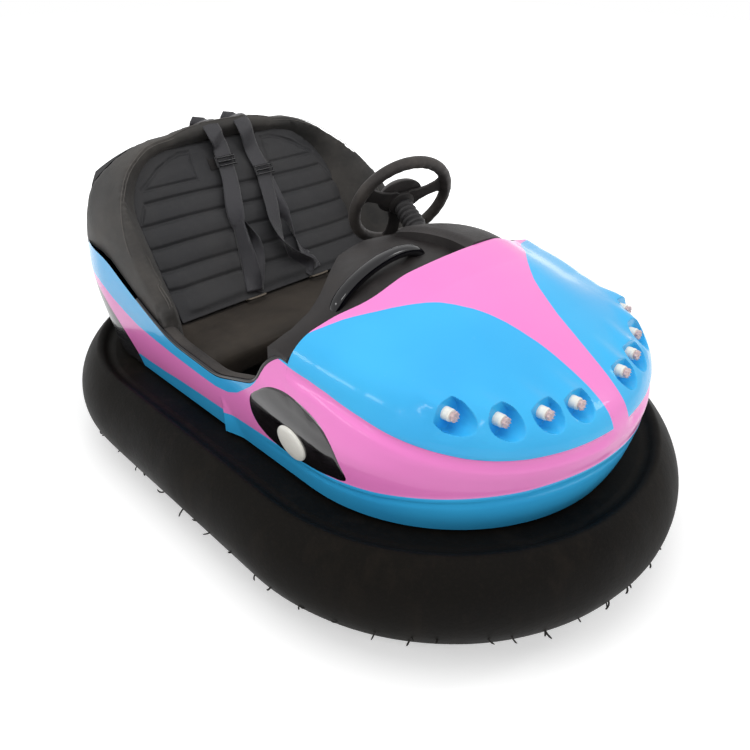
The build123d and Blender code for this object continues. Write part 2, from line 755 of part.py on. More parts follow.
def build_rear_wheels():
    r = rear_wheel_radius
    tyre, hub = tyre_and_hub(r, rear_wheel_width, 50, axle_radius + running_gap)
    rail_face = rail_spread + rail_size / 2
    outer = rear_wheel_y + rear_wheel_width / 2
    hangers = []
    for side, name in ((1, "left"), (-1, "right")):
        place = Pos(rear_wheel_x, side * rear_wheel_y, r)
        save(f"rear_tyre_{name}", place * tyre)
        save(f"rear_hub_{name}", one(place * hub))
        y0, y1 = sorted((side * rail_face, side * (rail_face + 10)))
        plate = slab(rear_wheel_x - 40, rear_wheel_x + 40, y0, y1, r - 22, rail_base + rail_size)
        near = rail_face
        far = outer + moving_gap + 8
        pin = Pos(rear_wheel_x, side * (near + far) / 2, r) * Rot(90, 0, 0) * Cylinder(
            axle_radius, far - near)
        nut = Pos(rear_wheel_x, side * (far - 4), r) * Rot(90, 0, 0) * Cylinder(axle_radius + 7, 8)
        hangers += (plate + pin + nut).solids()
    save("axle_hangers", Compound(children=hangers))


def build_lugs():
    """Tie-down plates with a hole from below, and flat pads for a workshop jack."""
    half = rail_size / 2
    lugs = []
    for x in (cross_tubes[0], cross_tubes[-1]):
        plate = slab(x - lug_reach, x + half, -lug_width / 2, lug_width / 2, rail_base - lug_thickness, rail_base)
        hole = Pos(x - lug_reach + lug_width / 2, 0, rail_base) * Cylinder(lug_hole, 3 * lug_thickness)
        lugs += (plate - hole).solids()
    save("tie_down_lugs", Compound(children=lugs))

    pads = []
    for side in (-1, 1):
        pads.append(Pos(jack_x, side * rail_spread, rail_base - jack_pad_height / 2)
                    * Box(2 * rail_size, rail_size, jack_pad_height))
    save("jack_pads", Compound(children=pads))


build_ring()
build_chassis()
build_lugs()
build_body()
build_lamps()
dash_and_cowl, dash_bulk = build_dash()
build_tub(dash_bulk)
build_bench()
build_harness()
build_steering(dash_and_cowl)
build_drive()
build_rear_wheels()
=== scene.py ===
"""Dresses the bumper car: painted shell, rubber ring, padded bench, belts, dash and steering."""

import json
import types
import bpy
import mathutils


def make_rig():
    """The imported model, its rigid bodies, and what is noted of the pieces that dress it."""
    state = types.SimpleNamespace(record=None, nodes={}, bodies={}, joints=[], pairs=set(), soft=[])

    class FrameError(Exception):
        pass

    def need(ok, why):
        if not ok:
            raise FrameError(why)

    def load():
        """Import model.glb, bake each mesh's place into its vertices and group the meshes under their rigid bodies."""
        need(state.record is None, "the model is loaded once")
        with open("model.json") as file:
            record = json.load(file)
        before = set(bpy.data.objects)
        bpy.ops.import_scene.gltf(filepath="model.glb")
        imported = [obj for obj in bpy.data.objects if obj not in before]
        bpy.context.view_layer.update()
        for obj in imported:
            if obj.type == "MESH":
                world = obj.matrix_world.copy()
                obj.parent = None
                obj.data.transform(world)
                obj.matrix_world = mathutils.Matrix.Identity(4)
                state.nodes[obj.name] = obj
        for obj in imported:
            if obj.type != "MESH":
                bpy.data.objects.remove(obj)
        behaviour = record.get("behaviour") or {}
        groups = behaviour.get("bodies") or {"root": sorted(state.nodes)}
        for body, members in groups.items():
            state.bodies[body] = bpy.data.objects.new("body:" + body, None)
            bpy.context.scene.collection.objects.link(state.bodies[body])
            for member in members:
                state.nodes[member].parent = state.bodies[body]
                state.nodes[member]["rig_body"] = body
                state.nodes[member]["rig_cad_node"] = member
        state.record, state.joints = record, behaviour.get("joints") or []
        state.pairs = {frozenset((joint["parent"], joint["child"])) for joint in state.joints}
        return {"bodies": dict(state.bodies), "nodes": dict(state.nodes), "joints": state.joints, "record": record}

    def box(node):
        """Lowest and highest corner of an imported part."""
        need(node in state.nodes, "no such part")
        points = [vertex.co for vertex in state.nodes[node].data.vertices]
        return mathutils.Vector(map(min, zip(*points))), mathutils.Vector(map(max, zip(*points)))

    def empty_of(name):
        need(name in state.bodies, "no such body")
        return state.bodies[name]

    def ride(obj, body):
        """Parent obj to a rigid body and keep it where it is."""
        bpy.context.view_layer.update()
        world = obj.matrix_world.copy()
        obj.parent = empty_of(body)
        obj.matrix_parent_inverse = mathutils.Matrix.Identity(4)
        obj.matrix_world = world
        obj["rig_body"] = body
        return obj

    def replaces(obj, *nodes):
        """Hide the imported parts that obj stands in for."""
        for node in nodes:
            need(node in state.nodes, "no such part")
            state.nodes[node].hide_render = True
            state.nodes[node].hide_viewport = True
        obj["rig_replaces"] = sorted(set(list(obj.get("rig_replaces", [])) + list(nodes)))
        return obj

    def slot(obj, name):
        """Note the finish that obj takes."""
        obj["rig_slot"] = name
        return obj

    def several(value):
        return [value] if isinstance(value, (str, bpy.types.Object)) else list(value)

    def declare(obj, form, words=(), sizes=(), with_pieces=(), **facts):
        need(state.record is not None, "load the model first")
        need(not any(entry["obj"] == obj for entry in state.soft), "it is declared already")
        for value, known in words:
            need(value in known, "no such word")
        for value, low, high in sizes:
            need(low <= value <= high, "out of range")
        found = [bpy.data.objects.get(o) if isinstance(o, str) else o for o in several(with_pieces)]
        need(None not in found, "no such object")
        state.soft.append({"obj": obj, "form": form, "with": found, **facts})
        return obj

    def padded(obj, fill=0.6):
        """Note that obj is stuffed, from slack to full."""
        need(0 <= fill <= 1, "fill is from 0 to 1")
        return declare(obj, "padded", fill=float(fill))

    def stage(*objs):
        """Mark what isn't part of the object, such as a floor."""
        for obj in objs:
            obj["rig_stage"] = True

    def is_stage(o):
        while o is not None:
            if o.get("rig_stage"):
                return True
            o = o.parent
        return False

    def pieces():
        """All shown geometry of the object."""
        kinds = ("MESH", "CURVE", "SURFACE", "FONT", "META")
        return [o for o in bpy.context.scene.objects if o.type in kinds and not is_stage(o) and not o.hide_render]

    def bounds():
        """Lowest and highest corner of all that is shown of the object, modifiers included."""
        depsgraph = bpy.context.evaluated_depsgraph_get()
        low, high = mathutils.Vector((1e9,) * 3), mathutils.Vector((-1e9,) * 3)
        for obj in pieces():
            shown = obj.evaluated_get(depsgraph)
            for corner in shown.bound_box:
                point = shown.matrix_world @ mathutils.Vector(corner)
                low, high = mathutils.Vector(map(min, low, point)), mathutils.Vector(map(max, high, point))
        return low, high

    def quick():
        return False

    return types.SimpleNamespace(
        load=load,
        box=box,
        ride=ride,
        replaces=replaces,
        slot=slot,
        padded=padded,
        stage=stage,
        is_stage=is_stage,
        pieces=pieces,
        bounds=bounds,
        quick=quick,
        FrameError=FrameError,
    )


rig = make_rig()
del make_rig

bl_info = {
    "name": "Bumper Car",
    "version": (1, 0, 0),
    "blender": (4, 5, 0),
    "location": "3D View > Sidebar > Bumper Car",
    "description": "Builds the finished pieces of a two-seat bumper car round its frame",
    "category": "Add Mesh",
}

import json
import math
import random
import sys

import bmesh
import bpy
import numpy as np
from mathutils import Matrix, Vector
from mathutils.bvhtree import BVHTree

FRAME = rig.load()
NODES = FRAME["nodes"]
CAD_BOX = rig.bounds()
HOOD_REAR = 0.3505                 # where the hood's rear edge stands
SHELL_BASE = 0.2865                # lower edge of the painted shell
LONGEST_EDGE = 0.02                # longer edges of a formed copy are divided


# ------------------------------------------------------------------ small helpers
def srgb(red, green, blue):
    """A colour written 0 to 255, as the linear colour a shader takes."""
    def line(v):
        v /= 255
        return v / 12.92 if v <= 0.04045 else ((v + 0.055) / 1.055) ** 2.4
    return (line(red), line(green), line(blue), 1.0)


def smooth(low, high, v):
    """0 below low, 1 above high and an even curve between."""
    t = np.clip((v - low) / (high - low), 0.0, 1.0)
    return t * t * (3 - 2 * t)


def along(table, v):
    """A height read from a short table of (station, height)."""
    xs, ys = zip(*sorted(table))
    return np.interp(v, xs, ys)


def bell(v, width):
    """1 at 0, falling away on both sides over a width."""
    return np.exp(-(v / width) ** 2)


def bmesh_of(mesh):
    """A bmesh read from a mesh."""
    bm = bmesh.new()
    bm.from_mesh(mesh)
    return bm


def write_back(bm, mesh):
    """Puts a bmesh into a mesh and lets it go."""
    bm.to_mesh(mesh)
    bm.free()
    return mesh


def corners(mesh):
    """The places of a mesh's or bmesh's corners."""
    return np.array([v.co for v in getattr(mesh, "verts", None) or mesh.vertices])


def soften(bm, rounds):
    """Evens out a bmesh's corners."""
    for _ in range(rounds):
        bmesh.ops.smooth_vert(bm, verts=bm.verts, factor=0.5, use_axis_x=True, use_axis_y=True,
                              use_axis_z=True)


def thicken(bm, amount):
    """Moves every corner out along its normal."""
    bm.normal_update()
    for v in bm.verts:
        v.co += v.normal * amount


def faces_of(verts):
    """Every face round some corners."""
    return list({f for v in verts for f in v.link_faces})


def edges_of(verts):
    """Every edge at some corners."""
    return list({e for v in verts for e in v.link_edges})


def only_verts(geometry):
    """The corners among some geometry."""
    return [g for g in geometry if isinstance(g, bmesh.types.BMVert)]


def only_edges(geometry):
    """The edges among some geometry."""
    return [g for g in geometry if isinstance(g, bmesh.types.BMEdge)]


def ray_in(tree, x, z, side):
    """Where a level ray from outside meets the shell's right (-1) or left (1) side."""
    return tree.ray_cast(Vector((x, side * 0.9, z)), Vector((0, -side, 0)))


def highest(holds, low, high, rounds):
    """The highest level between two at which holds(level) is true, found by halving."""
    for _ in range(rounds):
        mid = (low + high) / 2
        if holds(mid):
            low = mid
        else:
            high = mid
    return low


def body_form(p):
    """Draws the plain shell's hood in, back and down to its moulded form, and its rear corners back."""
    p = np.array(p, float)
    x, y, z = p[..., 0], p[..., 1], p[..., 2]
    side = np.abs(y)
    shoulder = smooth(0.15, 0.38, side)
    draw = along(CROWN_DRAW, x) * (1 - shoulder) * smooth(0.50, 0.62, z)
    draw = draw + along(SHOULDER_DRAW, x) * shoulder * smooth(0.43, 0.60, z)
    corner = (0.040 * (side / 0.49) ** 2 * smooth(0.50, 0.60, z) * smooth(0.0, 0.30, x)
              * (1 - smooth(0.34, 0.56, x)))
    made = p.copy()
    made[..., 0] -= 0.60 * draw * shoulder + corner
    made[..., 1] -= 0.60 * draw * shoulder * np.sign(y)
    made[..., 2] -= draw * (0.95 - 0.435 * shoulder)
    return made


def formed_copy(node, name, look_name, slot, reach):
    """A CAD node with its long edges divided, drawn in by reach and then to the shell's moulded form."""
    bm = bmesh_of(NODES[node].data)
    bmesh.ops.remove_doubles(bm, verts=bm.verts, dist=1e-5)
    for _ in range(5):
        edges = [e for e in bm.edges if e.calc_length() > LONGEST_EDGE]
        if edges:
            bmesh.ops.subdivide_edges(bm, edges=edges, cuts=1)
            bmesh.ops.triangulate(bm, faces=[f for f in bm.faces if len(f.verts) > 3])
    for v, spot in zip(bm.verts, body_form(reach(corners(bm)))):
        v.co = spot
    return add_mesh(name, bm, look_name, replaces=(node,), slot=slot, recalc=False, sharp=35)


def skin_tree(*names):
    """A search tree over some CAD nodes' surfaces."""
    bm = bmesh.new()
    for name in names:
        bm.from_mesh(NODES[name].data)
    tree = BVHTree.FromBMesh(bm)
    bm.free()
    return tree


def add_mesh(name, bm, look_name, body="root", replaces=(), slot=None, recalc=True, sharp=40):
    """Finishes a bmesh as a piece: smooth shading, a look, the body it rides on."""
    if recalc:
        bmesh.ops.recalc_face_normals(bm, faces=bm.faces)
    for face in bm.faces:
        face.smooth = True
    limit = math.radians(sharp)
    for edge in bm.edges:
        edge.smooth = len(edge.link_faces) != 2 or edge.calc_face_angle(0.0) < limit
    mesh = write_back(bm, bpy.data.meshes.new(name))
    obj = add_object(name, mesh)
    mesh.materials.append(look_for(look_name))
    if replaces:
        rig.replaces(obj, *replaces)
    if slot:
        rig.slot(obj, slot)
    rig.ride(obj, body)
    return obj


def add_object(name, data):
    """Puts new data into the scene as an object."""
    obj = bpy.data.objects.new(name, data)
    bpy.context.scene.collection.objects.link(obj)
    return obj


def join_part(whole, part, here):
    """Adds a part, turned and moved by a matrix, to a whole."""
    bmesh.ops.recalc_face_normals(part, faces=part.faces)
    bmesh.ops.transform(part, matrix=here, verts=part.verts)
    mesh = write_back(part, bpy.data.meshes.new("part"))
    whole.from_mesh(mesh)
    bpy.data.meshes.remove(mesh)


def sheet_form(bm, across, up, place, merge=1e-5):
    """A grid whose corner (i, j) is put where place(i, j) says; touching rims are merged."""
    made = bmesh.ops.create_grid(bm, x_segments=across, y_segments=up, size=0.5)["verts"]
    for v in made:
        i = round((v.co.x + 0.5) * across)
        j = round((v.co.y + 0.5) * up)
        v.co = place(i, j)
    if merge:
        bmesh.ops.remove_doubles(bm, verts=made, dist=merge)
    return [v for v in made if v.is_valid]


def turned(bm, profile, steps):
    """A turned shape: a profile of (radius, height) spun about Z."""
    verts = [bm.verts.new((r, 0, h)) for r, h in profile]
    edges = [bm.edges.new(pair) for pair in zip(verts, verts[1:])]
    spin_round(bm, verts + edges, steps)


def spin_round(bm, geometry, steps):
    """Spins a profile once round Z and closes it on itself."""
    bmesh.ops.spin(bm, geom=geometry, cent=(0, 0, 0), axis=(0, 0, 1), angle=2 * math.pi, steps=steps,
                   use_merge=True)
    bmesh.ops.remove_doubles(bm, verts=bm.verts, dist=1e-6)


def frame_at(origin, out, up=(0, 0, 1)):
    """A placing matrix: Z along out, Y as near up as it can be."""
    z = Vector(out).normalized()
    x = Vector(up).cross(z).normalized()
    y = z.cross(x)
    m = Matrix((x, y, z)).transposed().to_4x4()
    m.translation = Vector(origin)
    return m


# ------------------------------------------------------------------ looks
class Tree:
    """Shader nodes put together from short calls."""

    def __init__(self, tree):
        self.nodes, self.links = tree.nodes, tree.links

    def feed(self, target, value):
        """Links a socket's output into a target, or sets a constant there."""
        if isinstance(value, bpy.types.NodeSocket):
            self.links.new(value, target)
        else:
            target.default_value = value

    def node(self, kind, inputs=(), **settings):
        """A new node with its inputs fed and its settings set."""
        made = self.nodes.new("ShaderNode" + kind)
        for key, value in settings.items():
            setattr(made, key, value)
        for key, value in dict(inputs).items():
            self.feed(made.inputs[key], value)
        return made

    def sum(self, operation, a, b=0.0):
        """One step of arithmetic on one or two values."""
        return self.node("Math", {0: a, 1: b}, operation=operation).outputs[0]

    def span(self, value, low, high, to_low=0.0, to_high=1.0):
        """A value between low and high, carried over to another range and held within it."""
        return self.node("MapRange", {"Value": value, "From Min": low, "From Max": high,
                                      "To Min": to_low, "To Max": to_high}).outputs[0]

    def seen_rays(self):
        """1 for the camera's own rays and for what gloss and glass show."""
        rays = self.node("LightPath").outputs
        seen = self.sum("MAXIMUM", rays["Is Camera Ray"], rays["Is Glossy Ray"])
        return self.sum("MAXIMUM", seen, rays["Is Transmission Ray"])


class Look(Tree):
    """A material: the shader's constants by name, then what is put into its sockets."""

    def __init__(self, name, **sockets):
        self.mat = bpy.data.materials.new(name)
        self.mat.use_nodes = True
        super().__init__(self.mat.node_tree)
        for key, value in sockets.items():
            self.put(key.replace("_", " "), value)
        self.coords = self.node("TexCoord").outputs["Object"]

    def put(self, socket, value):
        """Feeds one of the shader's sockets."""
        self.feed(self.nodes["Principled BSDF"].inputs[socket], value)

    def scaled(self, scale):
        """The object's own coordinates, stretched."""
        return self.node("Mapping", {"Vector": self.coords, "Scale": scale}).outputs[0]

    def noise(self, scale, detail=3.0, rough=0.5, coords=None, warp=0.0):
        """Smooth noise from 0 to 1."""
        return self.node("TexNoise", {"Vector": coords or self.coords, "Scale": scale, "Detail": detail,
                                      "Roughness": rough, "Distortion": warp}).outputs["Fac"]

    def mix(self, amount, a, b):
        """One colour over another."""
        return self.node("Mix", {0: amount, 6: a, 7: b}, data_type="RGBA").outputs[2]

    def line(self, value, table, low, high):
        """A curve through a table of (station, height), read at a value."""
        made = self.node("FloatCurve", {"Value": self.span(value, low, high)})
        heights = [h for _, h in table]
        floor, ceiling = min(heights), max(heights)
        curve = made.mapping.curves[0]
        points = sorted(((s - low) / (high - low), (h - floor) / (ceiling - floor)) for s, h in table)
        for _ in points[2:]:
            curve.points.new(0.5, 0.5)
        for point, spot in zip(curve.points, points):
            point.location = spot
            point.handle_type = "VECTOR"
        made.mapping.update()
        return self.span(made.outputs[0], 0.0, 1.0, floor, ceiling)

    def split(self, value):
        """A vector's three parts."""
        return self.node("SeparateXYZ", {0: value}).outputs

    def bump(self, height, distance, strength):
        """Roughens the surface by a height."""
        made = self.node("Bump", {"Height": height, "Distance": distance, "Strength": strength})
        self.put("Normal", made.outputs[0])


# paint borders on the shell: station x, height z
UPPER_CREASE = ((0.28, 0.628), (0.317, 0.620), (0.365, 0.612), (0.41, 0.606), (0.45, 0.596), (0.487, 0.582),
                (0.52, 0.570), (0.552, 0.557), (0.58, 0.546), (0.607, 0.537), (0.633, 0.529), (0.657, 0.522),
                (0.681, 0.516), (0.703, 0.510), (0.743, 0.503), (0.779, 0.4985), (0.81, 0.497), (0.87, 0.494))
LOWER_LINE = ((-0.90, 0.20), (-0.62, 0.20), (-0.44, 0.325), (-0.38, 0.325), (-0.29, 0.328), (-0.21, 0.335),
              (0.0, 0.343), (0.08, 0.348), (0.30, 0.360), (0.466, 0.372), (0.538, 0.378), (0.6, 0.387),
              (0.654, 0.394), (0.7, 0.400), (0.743, 0.406), (0.78, 0.411), (0.81, 0.418), (0.87, 0.428))
STRIPE_FOOT = ((-0.90, 0.545), (-0.70, 0.548), (-0.56, 0.535), (-0.529, 0.520), (-0.486, 0.496),
               (-0.433, 0.473), (-0.375, 0.452), (-0.298, 0.440), (-0.21, 0.430), (-0.128, 0.424),
               (-0.07, 0.420), (0.0, 0.418), (0.06, 0.428), (0.107, 0.450), (0.17, 0.497), (0.238, 0.555),
               (0.31, 0.622), (0.36, 0.70), (0.90, 0.95))
TAIL_FOOT = ((-0.90, 0.545), (-0.65, 0.53), (-0.585, 0.50), (-0.549, 0.465), (-0.51, 0.412), (-0.473, 0.359),
             (-0.451, 0.325), (-0.43, 0.286), (-0.40, 0.20), (0.90, 0.20))
# how far the hood is drawn in at its crown and shoulders: station x, distance
CROWN_DRAW = ((0.30, -0.006), (0.36, -0.002), (0.43, 0.012), (0.50, 0.018), (0.62, 0.020), (0.69, 0.015),
              (0.76, 0.008), (0.80, 0.003), (0.85, 0.0))
SHOULDER_DRAW = ((0.05, 0.0), (0.15, 0.008), (0.25, 0.030), (0.33, 0.050), (0.40, 0.060), (0.52, 0.060),
                 (0.58, 0.046), (0.63, 0.028), (0.68, 0.015), (0.74, 0.008), (0.80, 0.0))
LEAF_EDGE = ((0.28, 0.56), (0.317, 0.495), (0.35, 0.44), (0.362, 0.40), (0.370, 0.365), (0.379, 0.325),
             (0.388, 0.29), (0.400, 0.255), (0.417, 0.222), (0.435, 0.192), (0.455, 0.165), (0.480, 0.140),
             (0.51, 0.114), (0.54, 0.096), (0.575, 0.080), (0.61, 0.067), (0.65, 0.056), (0.69, 0.048),
             (0.73, 0.042), (0.77, 0.037), (0.81, 0.033), (0.87, 0.030))


def paint_look():
    """Gloss gel coat in two colours, with the dark tail, split along the shell's border lines."""
    options = bpy.context.scene.bumper_colours
    look = Look("shell_paint", Roughness=0.26, Specular_IOR_Level=0.15, Coat_Weight=0.38, Coat_Roughness=0.02,
                Coat_IOR=1.42)
    plain = look.node("Attribute", attribute_name="plain").outputs["Vector"]
    x, y, z = look.split(plain)
    side = look.sum("ABSOLUTE", y)
    soft = 0.0008

    def above(table, value=z):
        border = look.line(x, table, -0.9, 0.9)
        return look.span(look.sum("SUBTRACT", value, border), -soft, soft)

    over_crease = above(UPPER_CREASE)
    on_leaf = look.sum("MULTIPLY", over_crease, above(LEAF_EDGE, side))
    on_leaf = look.sum("MULTIPLY", on_leaf, look.span(x, 0.3150, 0.3165))
    stripe = look.sum("MULTIPLY", above(STRIPE_FOOT), look.span(x, 0.3165, 0.3150))
    low_band = look.sum("SUBTRACT", 1.0, above(LOWER_LINE))
    tail = look.sum("SUBTRACT", 1.0, above(TAIL_FOOT))
    blue = look.sum("MAXIMUM", look.sum("MAXIMUM", on_leaf, stripe), low_band)
    cloud = look.noise(3.0, 2.0)
    pink = look.mix(look.span(cloud, 0.3, 0.7), tuple(options.pink) + (1,), srgb(243, 134, 207))
    aqua = look.mix(look.span(cloud, 0.3, 0.7), tuple(options.blue) + (1,), srgb(56, 176, 238))
    two = look.mix(blue, pink, aqua)
    dust = look.span(look.noise(60.0, 6.0, 0.7), 0.62, 0.80, 0.0, 0.05)
    two = look.mix(dust, two, srgb(220, 215, 205))
    look.put("Base Color", look.mix(tail, two, srgb(38, 38, 40)))
    ripple = look.noise(9.0, 2.0)
    grain = look.noise(700.0, 2.0)
    look.bump(look.sum("ADD", ripple, look.sum("MULTIPLY", grain, 0.02)), 0.0012, 0.35)
    return look.mat


def rubber_look():
    """Dark tyre rubber, greyed and browned where it rubs."""
    look = Look("ring_rubber", Specular_IOR_Level=0.08)
    z = look.split(look.coords)[2]
    rub = look.noise(2.2, 5.0, 0.62, warp=0.4)
    streak = look.noise(1.0, 4.0, 0.6, coords=look.scaled((16, 16, 2.0)))
    fine = look.noise(120.0, 4.0, 0.6)
    tone = look.mix(look.span(rub, 0.38, 0.68), srgb(7, 6, 5), srgb(17, 15, 12))
    tone = look.mix(look.span(streak, 0.52, 0.78, 0.0, 0.5), tone, srgb(33, 28, 23))
    high = look.span(z, 0.10, 0.26, 0.0, 1.0)
    tone = look.mix(look.sum("MULTIPLY", look.span(fine, 0.5, 0.9, 0.0, 0.35), high), tone, srgb(36, 31, 26))
    look.put("Base Color", tone)
    look.put("Roughness", look.span(rub, 0.3, 0.7, 0.42, 0.66))
    scuffs = look.sum("MULTIPLY", look.noise(38.0, 5.0, 0.6), 0.6)
    look.bump(look.sum("ADD", scuffs, look.sum("MULTIPLY", fine, 0.35)), 0.0022, 0.6)
    return look.mat


def vinyl_look(name, tone, worn, scale=1.0, wear=0.5, gloss=0.46):
    """Seat vinyl: leather grain, soft creases, dust in the worn places."""
    look = Look(name, Specular_IOR_Level=0.26, Sheen_Weight=0.05, Sheen_Roughness=0.5)
    patches = look.noise(5.0 * scale, 5.0, 0.6, warp=0.3)
    fine = look.noise(55.0 * scale, 4.0, 0.6)
    colour = look.mix(look.sum("MULTIPLY", look.span(patches, 0.40, 0.72), wear), tone, worn)
    colour = look.mix(look.span(fine, 0.5, 0.85, 0.0, 0.25), colour, worn)
    look.put("Base Color", colour)
    look.put("Roughness", look.span(patches, 0.3, 0.7, gloss, gloss + 0.16))
    cells = look.node("TexVoronoi", {"Vector": look.coords, "Scale": 620.0}, feature="DISTANCE_TO_EDGE")
    grain = look.span(cells.outputs["Distance"], 0.0, 0.28)
    crease = look.noise(26.0 * scale, 4.0, 0.55, warp=0.5)
    height = look.sum("ADD", look.sum("MULTIPLY", grain, 0.12), look.sum("MULTIPLY", crease, 0.55))
    look.bump(height, 0.0018, 0.55)
    return look.mat


def plastic_look(name, tone, rough=0.35, coat=0.0, grain=0.25, scale=420.0, worn=None, wear=0.15):
    """Moulded plastic or paint with a fine skin and faint handling marks."""
    look = Look(name, Specular_IOR_Level=0.30, Coat_Weight=coat, Coat_Roughness=0.04)
    marks = look.noise(14.0, 6.0, 0.65)
    worn = worn or srgb(120, 116, 110)
    look.put("Base Color", look.mix(look.span(marks, 0.45, 0.8, 0.0, wear), tone, worn))
    look.put("Roughness", look.span(marks, 0.3, 0.75, rough, min(1.0, rough + 0.18)))
    look.bump(look.noise(scale, 3.0, 0.6), 0.0005, grain)
    return look.mat


def metal_look(name, tone, rough=0.38, metallic=1.0, rust=0.0):
    """Brushed or painted metal, blotched with rust where there is any."""
    look = Look(name, Metallic=metallic)
    brushed = look.noise(40.0, 5.0, 0.65, coords=look.scaled((1.0, 8.0, 1.0)))
    blotch = look.noise(11.0, 6.0, 0.7)
    colour = look.mix(look.span(blotch, 0.55, 0.8, 0.0, rust), tone, srgb(92, 66, 48))
    look.put("Base Color", look.mix(look.span(brushed, 0.3, 0.8, 0.0, 0.35), colour, srgb(60, 60, 62)))
    look.put("Roughness", look.span(brushed, 0.3, 0.7, rough - 0.08, rough + 0.14))
    look.bump(look.sum("ADD", brushed, blotch), 0.0006, 0.4)
    return look.mat


def webbing_look():
    """Woven belt webbing: fine ribs along its length and a satin shine."""
    look = Look("belt_webbing", Roughness=0.38, Sheen_Weight=0.25, Sheen_Roughness=0.3,
                Specular_IOR_Level=0.5, Anisotropic=0.5)
    uv = look.node("UVMap", uv_map="strap").outputs[0]
    across, lengthwise = look.split(uv)[:2]
    rib = look.sum("ABSOLUTE", look.sum("SINE", look.sum("MULTIPLY", across, 2 * math.pi * 7)))
    weave = look.sum("SINE", look.sum("MULTIPLY", lengthwise, 2 * math.pi * 420))
    herring = look.sum("SINE", look.sum("MULTIPLY", across, 2 * math.pi * 46))
    cloth = look.sum("MULTIPLY", weave, herring)
    look.put("Base Color", look.mix(look.span(cloth, -1, 1), srgb(34, 33, 36), srgb(56, 55, 60)))
    height = look.sum("ADD", look.sum("MULTIPLY", rib, 0.8), look.sum("MULTIPLY", cloth, 0.35))
    look.bump(height, 0.0006, 0.7)
    return look.mat


def lamp_look():
    """Frosted lamp caps, faintly pink."""
    look = Look("lamp_cap", Roughness=0.28, Transmission_Weight=0.25, IOR=1.46, Specular_IOR_Level=0.5)
    fine = look.noise(180.0, 3.0)
    look.put("Base Color", look.mix(look.span(fine, 0.35, 0.7), srgb(238, 214, 212), srgb(222, 190, 190)))
    look.bump(fine, 0.0006, 0.4)
    return look.mat


# every look: the function that makes it, then what that function is given
# vinyl: name, tone, worn tone, scale, wear, gloss
# plastic: name, tone, roughness, coat, grain, its scale, worn tone, wear
# metal: name, tone, roughness, metallic, rust
LOOK_MAKERS = {
    "paint": (paint_look,),
    "rubber": (rubber_look,),
    "webbing": (webbing_look,),
    "lamp": (lamp_look,),
    "vinyl": (vinyl_look, "bench_vinyl", srgb(47, 47, 49), srgb(66, 65, 65)),
    "border": (vinyl_look, "border_vinyl", srgb(46, 45, 44), srgb(84, 80, 76), 1.0, 0.65),
    "cushion": (vinyl_look, "cushion_vinyl", srgb(42, 37, 32), srgb(68, 61, 54), 0.8, 0.8, 0.5),
    "flange": (vinyl_look, "edge_vinyl", srgb(48, 45, 44), srgb(84, 79, 75), 1.2, 0.7),
    "carpet": (vinyl_look, "floor_mat", srgb(40, 36, 33), srgb(70, 64, 57), 1.6, 0.7, 0.6),
    "cowl": (vinyl_look, "cowl_vinyl", srgb(40, 37, 37), srgb(66, 62, 61), 1.2, 0.6, 0.5),
    "grip": (vinyl_look, "grip_rubber", srgb(48, 45, 44), srgb(86, 80, 75), 2.0, 0.6, 0.44),
    "pad": (vinyl_look, "pad_cover", srgb(50, 48, 49), srgb(92, 88, 86), 1.0, 0.6, 0.36),
    "dash": (plastic_look, "dash_skin", srgb(34, 31, 31), 0.42, 0.0, 0.5, 260.0, srgb(66, 62, 60), 0.4),
    "gloss": (plastic_look, "gloss_black", srgb(7, 6, 11), 0.08, 0.4, 0.05, 90.0, srgb(40, 40, 46), 0.1),
    "wheel": (plastic_look, "wheel_plastic", srgb(44, 42, 42), 0.42, 0.0, 0.5, 420.0, srgb(88, 82, 78),
              0.3),
    "boot": (plastic_look, "boot_rubber", srgb(46, 45, 46), 0.4, 0.0, 0.4, 300.0, srgb(90, 88, 88), 0.3),
    "white": (plastic_look, "white_plastic", srgb(240, 238, 230), 0.3, 0.3, 0.1, 200.0,
              srgb(205, 200, 190), 0.3),
    "motif": (plastic_look, "motif_black", srgb(14, 11, 14), 0.12, 1.0, 0.06, 60.0, srgb(70, 60, 66), 0.12),
    "solid_rubber": (plastic_look, "road_rubber", srgb(30, 29, 28), 0.62, 0.0, 0.8, 160.0,
                     srgb(72, 66, 60), 0.5),
    "dark_panel": (plastic_look, "dark_panel", srgb(30, 30, 32), 0.4, 0.0, 0.3, 120.0),
    "hair": (plastic_look, "hair_rubber", srgb(24, 22, 20), 0.6),
    "battery": (plastic_look, "battery_case", srgb(34, 34, 36), 0.55),
    "stitch": (plastic_look, "seam_thread", srgb(92, 88, 85), 0.6),
    "black_steel": (metal_look, "painted_steel", srgb(26, 26, 28), 0.5, 0.2, 0.3),
    "steel": (metal_look, "plain_steel", srgb(150, 150, 154), 0.34),
    "aluminium": (metal_look, "cast_aluminium", srgb(165, 166, 168), 0.42),
    "brass": (metal_look, "valve_brass", srgb(190, 150, 80), 0.35),
    "bracket": (metal_look, "bracket_steel", srgb(128, 118, 106), 0.42, 0.4, 0.3),
}
LOOKS = {}


def look_for(name):
    """A finished look by name, made once."""
    if name not in LOOKS:
        maker, *given = LOOK_MAKERS[name]
        LOOKS[name] = maker(*given)
    return LOOKS[name]


